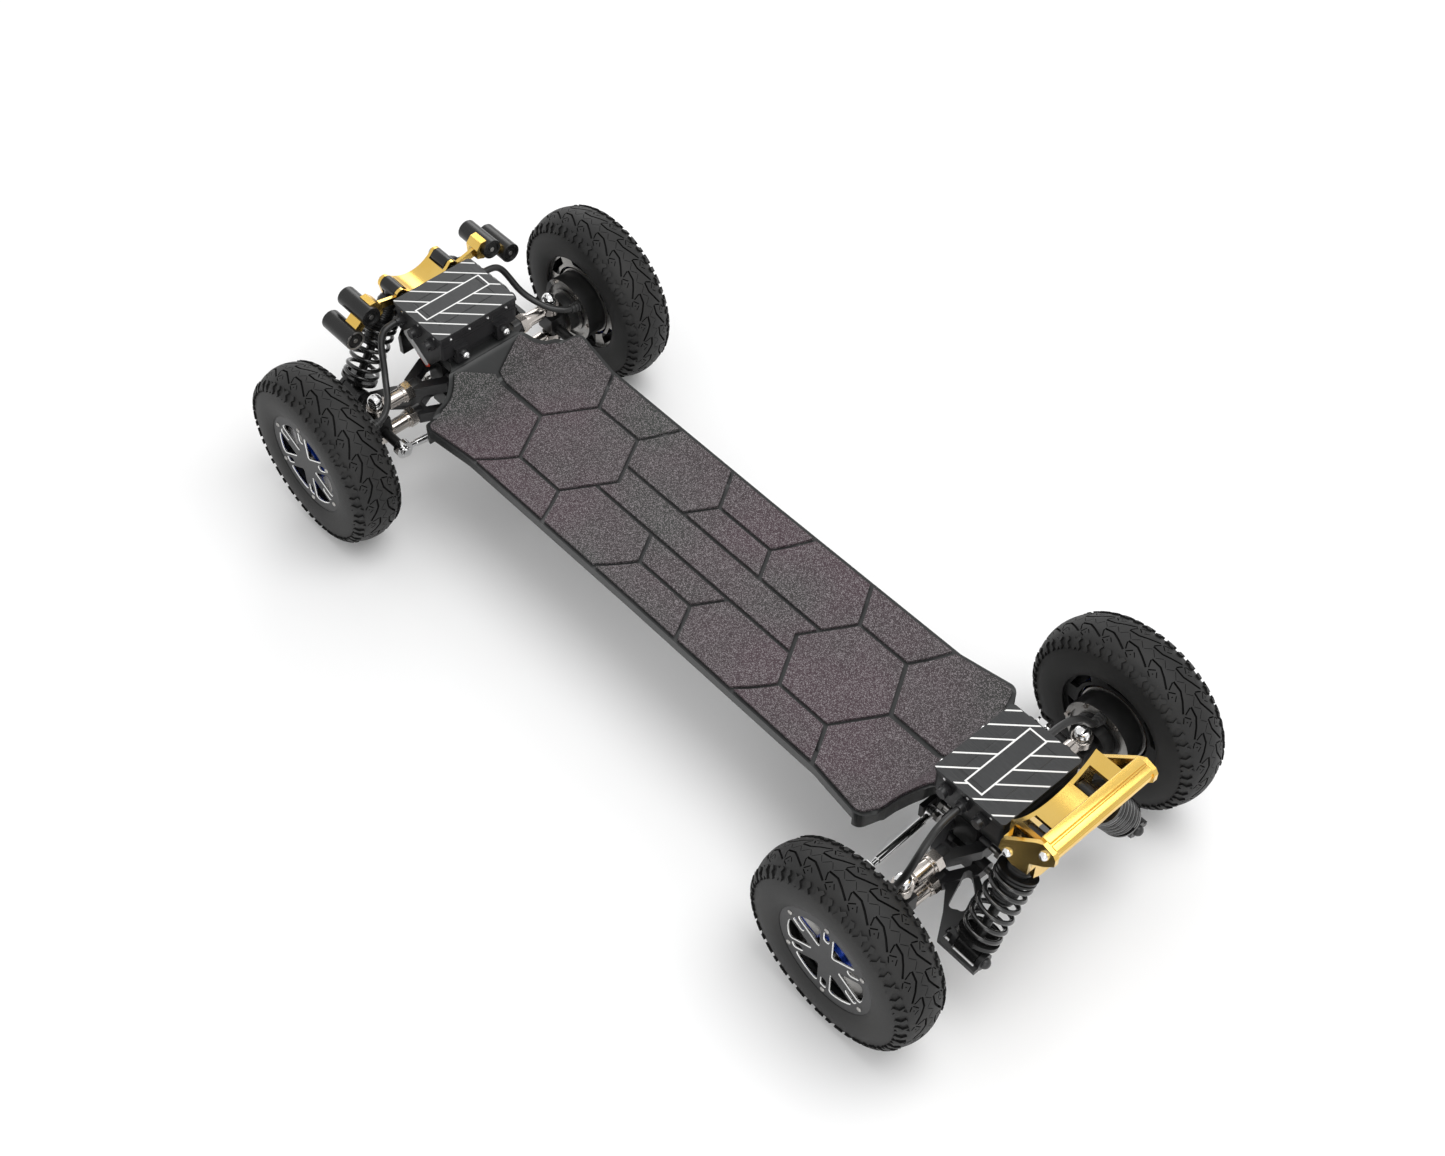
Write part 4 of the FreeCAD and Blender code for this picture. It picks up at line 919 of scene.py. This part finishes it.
# routes from the gland to the motor, in the front left corner's frame
FRONT_LEAD = [(527, 73, 231), (527, 88, 231), (524, 99, 224), (517, 106, 208), (507, 112, 190),
              (494, 121, 176), (474, 133, 166), (461, 148, 161), (457, 160, 158), (456, 174.2, 156.5)]
REAR_LEAD = [(489, 73, 231), (489, 88, 231), (490, 106, 228), (492, 125, 216), (492, 139, 198),
             (491, 150, 181), (489, 162, 170.5), (488, 174.2, 167)]
LEAD_R = 4.5
LEAD_SHORT = 5.0                   # the drawn lead stops this far from the motor, inside its boot
# rubber boot over the lead's end: radius, and height from the motor
BOOT = [(7.4, 0.6), (7.8, 1.4), (7.6, 3.6), (6.4, 4.2), (6.4, 5.4), (7.0, 6.0), (6.8, 8.2), (5.8, 8.8),
        (5.8, 10), (6.3, 10.6), (6.1, 13), (5.2, 14)]


def joint(name):
    """A joint of the record, by its name."""
    return next(j for j in frame["record"]["behaviour"]["joints"] if j["name"] == name)


def coil_rise(t):
    """Height share along the spring at share t of its turns: the end turns lie closed."""
    if t < CLOSED:
        return CLOSED_RISE * t / CLOSED
    if t > 1 - CLOSED:
        return 1 - CLOSED_RISE * (1 - t) / CLOSED
    return CLOSED_RISE + (1 - 2 * CLOSED_RISE) * (t - CLOSED) / (1 - 2 * CLOSED)


def make_springs():
    for tag, (sx, sy) in CORNERS.items():
        top = Vector(joint("shock_swing_" + tag)["pos_m"])
        up = Vector(joint("shock_stroke_" + tag)["axis"]).normalized()
        low = top - up * (SHOCK_LEN * MM)
        place = facing(low, up)
        s0, s1 = SPRING_S[0] + WIRE_R + SEAT_GAP, SPRING_S[1] - WIRE_R - SEAT_GAP
        steps = int(TURNS * TURN_STEPS)
        path = []
        for i in range(steps + 1):
            t = i / steps
            a = 2 * math.pi * TURNS * t * sx * sy
            s = s0 + (s1 - s0) * coil_rise(t)
            path.append(place @ Vector((COIL_R * math.cos(a) * MM, COIL_R * math.sin(a) * MM, s * MM)))
        bm = bmesh.new()
        sweep(bm, path, WIRE_R * MM, 16)
        bmesh.ops.recalc_face_normals(bm, faces=bm.faces)
        ob = piece("coil_" + tag, bm, ["spring_black"], None, ["spring_" + tag])
        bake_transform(ob)


def make_leads():
    for tag, (sx, sy) in CORNERS.items():
        route = [outward(point, sx, sy) for point in (FRONT_LEAD if sx > 0 else REAR_LEAD)]
        end = route[-1]
        path = [p for p in smooth_path(route, 90) if (p - end).length > LEAD_SHORT * MM]
        bm = bmesh.new()
        sweep(bm, path, LEAD_R * MM, 18)
        bmesh.ops.recalc_face_normals(bm, faces=bm.faces)
        # the four CAD leads are one node, so the first drawn lead replaces it
        ob = piece("lead_" + tag, bm, ["lead_black"], None,
                   ["motor_leads"] if tag == "fl" else [])
        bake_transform(ob)
        bm = bmesh.new()
        place = facing(end, (route[-2] - end).normalized()) @ Matrix.Diagonal((MM, MM, MM, 1))
        turned(bm, place, BOOT, 28)
        bmesh.ops.recalc_face_normals(bm, faces=bm.faces)
        piece("boot_" + tag, bm, ["lead_black"], "knuckle_" + tag)


# ---- floor, light and camera ---------------------------------------------------------------------
FLOOR_HALF = 14.0
WORLD_STRENGTH = 0.84
LIGHTS = (("key", (-0.9, -0.4, 3.0), (0, 0, 0.1), 2.2, 40.0),      # name, place, target, size, power
          ("fill", (-2.6, 2.2, 1.6), (0, 0, 0.1), 1.6, 16.0),
          ("rim", (2.4, -1.6, 1.4), (0, 0, 0.15), 1.4, 14.0))
CAMERA_AT, CAMERA_WAY = (-1.1886, 1.0456, 2.0443), (0.4731, -0.4257, -0.7714)


def aimed(direction):
    """Rotation that looks along a direction."""
    return Vector(direction).to_track_quat("-Z", "Y").to_euler()


def make_floor():
    bm = bmesh.new()
    bmesh.ops.create_grid(bm, x_segments=2, y_segments=2, size=FLOOR_HALF)
    mesh = bpy.data.meshes.new("floor")
    bm.to_mesh(mesh)
    bm.free()
    floor = bpy.data.objects.new("floor", mesh)
    bpy.context.scene.collection.objects.link(floor)
    material("floor_white", (0.90, 0.90, 0.90), 0.75, second=(0.92, 0.92, 0.92), blotch=2, grain=60, bump=0.0)
    mesh.materials.append(MATS["floor_white"])


def make_lights():
    world = bpy.data.worlds.new("studio")
    world.use_nodes = True
    world.node_tree.nodes["Background"].inputs["Color"].default_value = (1, 1, 1, 1)
    world.node_tree.nodes["Background"].inputs["Strength"].default_value = WORLD_STRENGTH
    bpy.context.scene.world = world
    for name, place, target, size, power in LIGHTS:
        light = bpy.data.lights.new(name, "AREA")
        light.shape, light.size, light.energy = "DISK", size, power
        ob = bpy.data.objects.new(name, light)
        ob.location = place
        ob.rotation_euler = aimed(Vector(target) - Vector(place))
        bpy.context.scene.collection.objects.link(ob)


def make_camera():
    data = bpy.data.cameras.new("camera")
    data.lens, data.sensor_width = 50.0, 36.0
    data.clip_end = 60.0
    ob = bpy.data.objects.new("camera", data)
    ob.location = CAMERA_AT
    ob.rotation_euler = aimed(CAMERA_WAY)
    bpy.context.scene.collection.objects.link(ob)
    bpy.context.scene.camera = ob
    bpy.context.scene.view_settings.view_transform = "Standard"


make_camera()
make_floor()
make_lights()
make_wheels()
make_deck()
make_lids()
make_boxes()
make_metalwork()
make_corners()
make_springs()
make_leads()
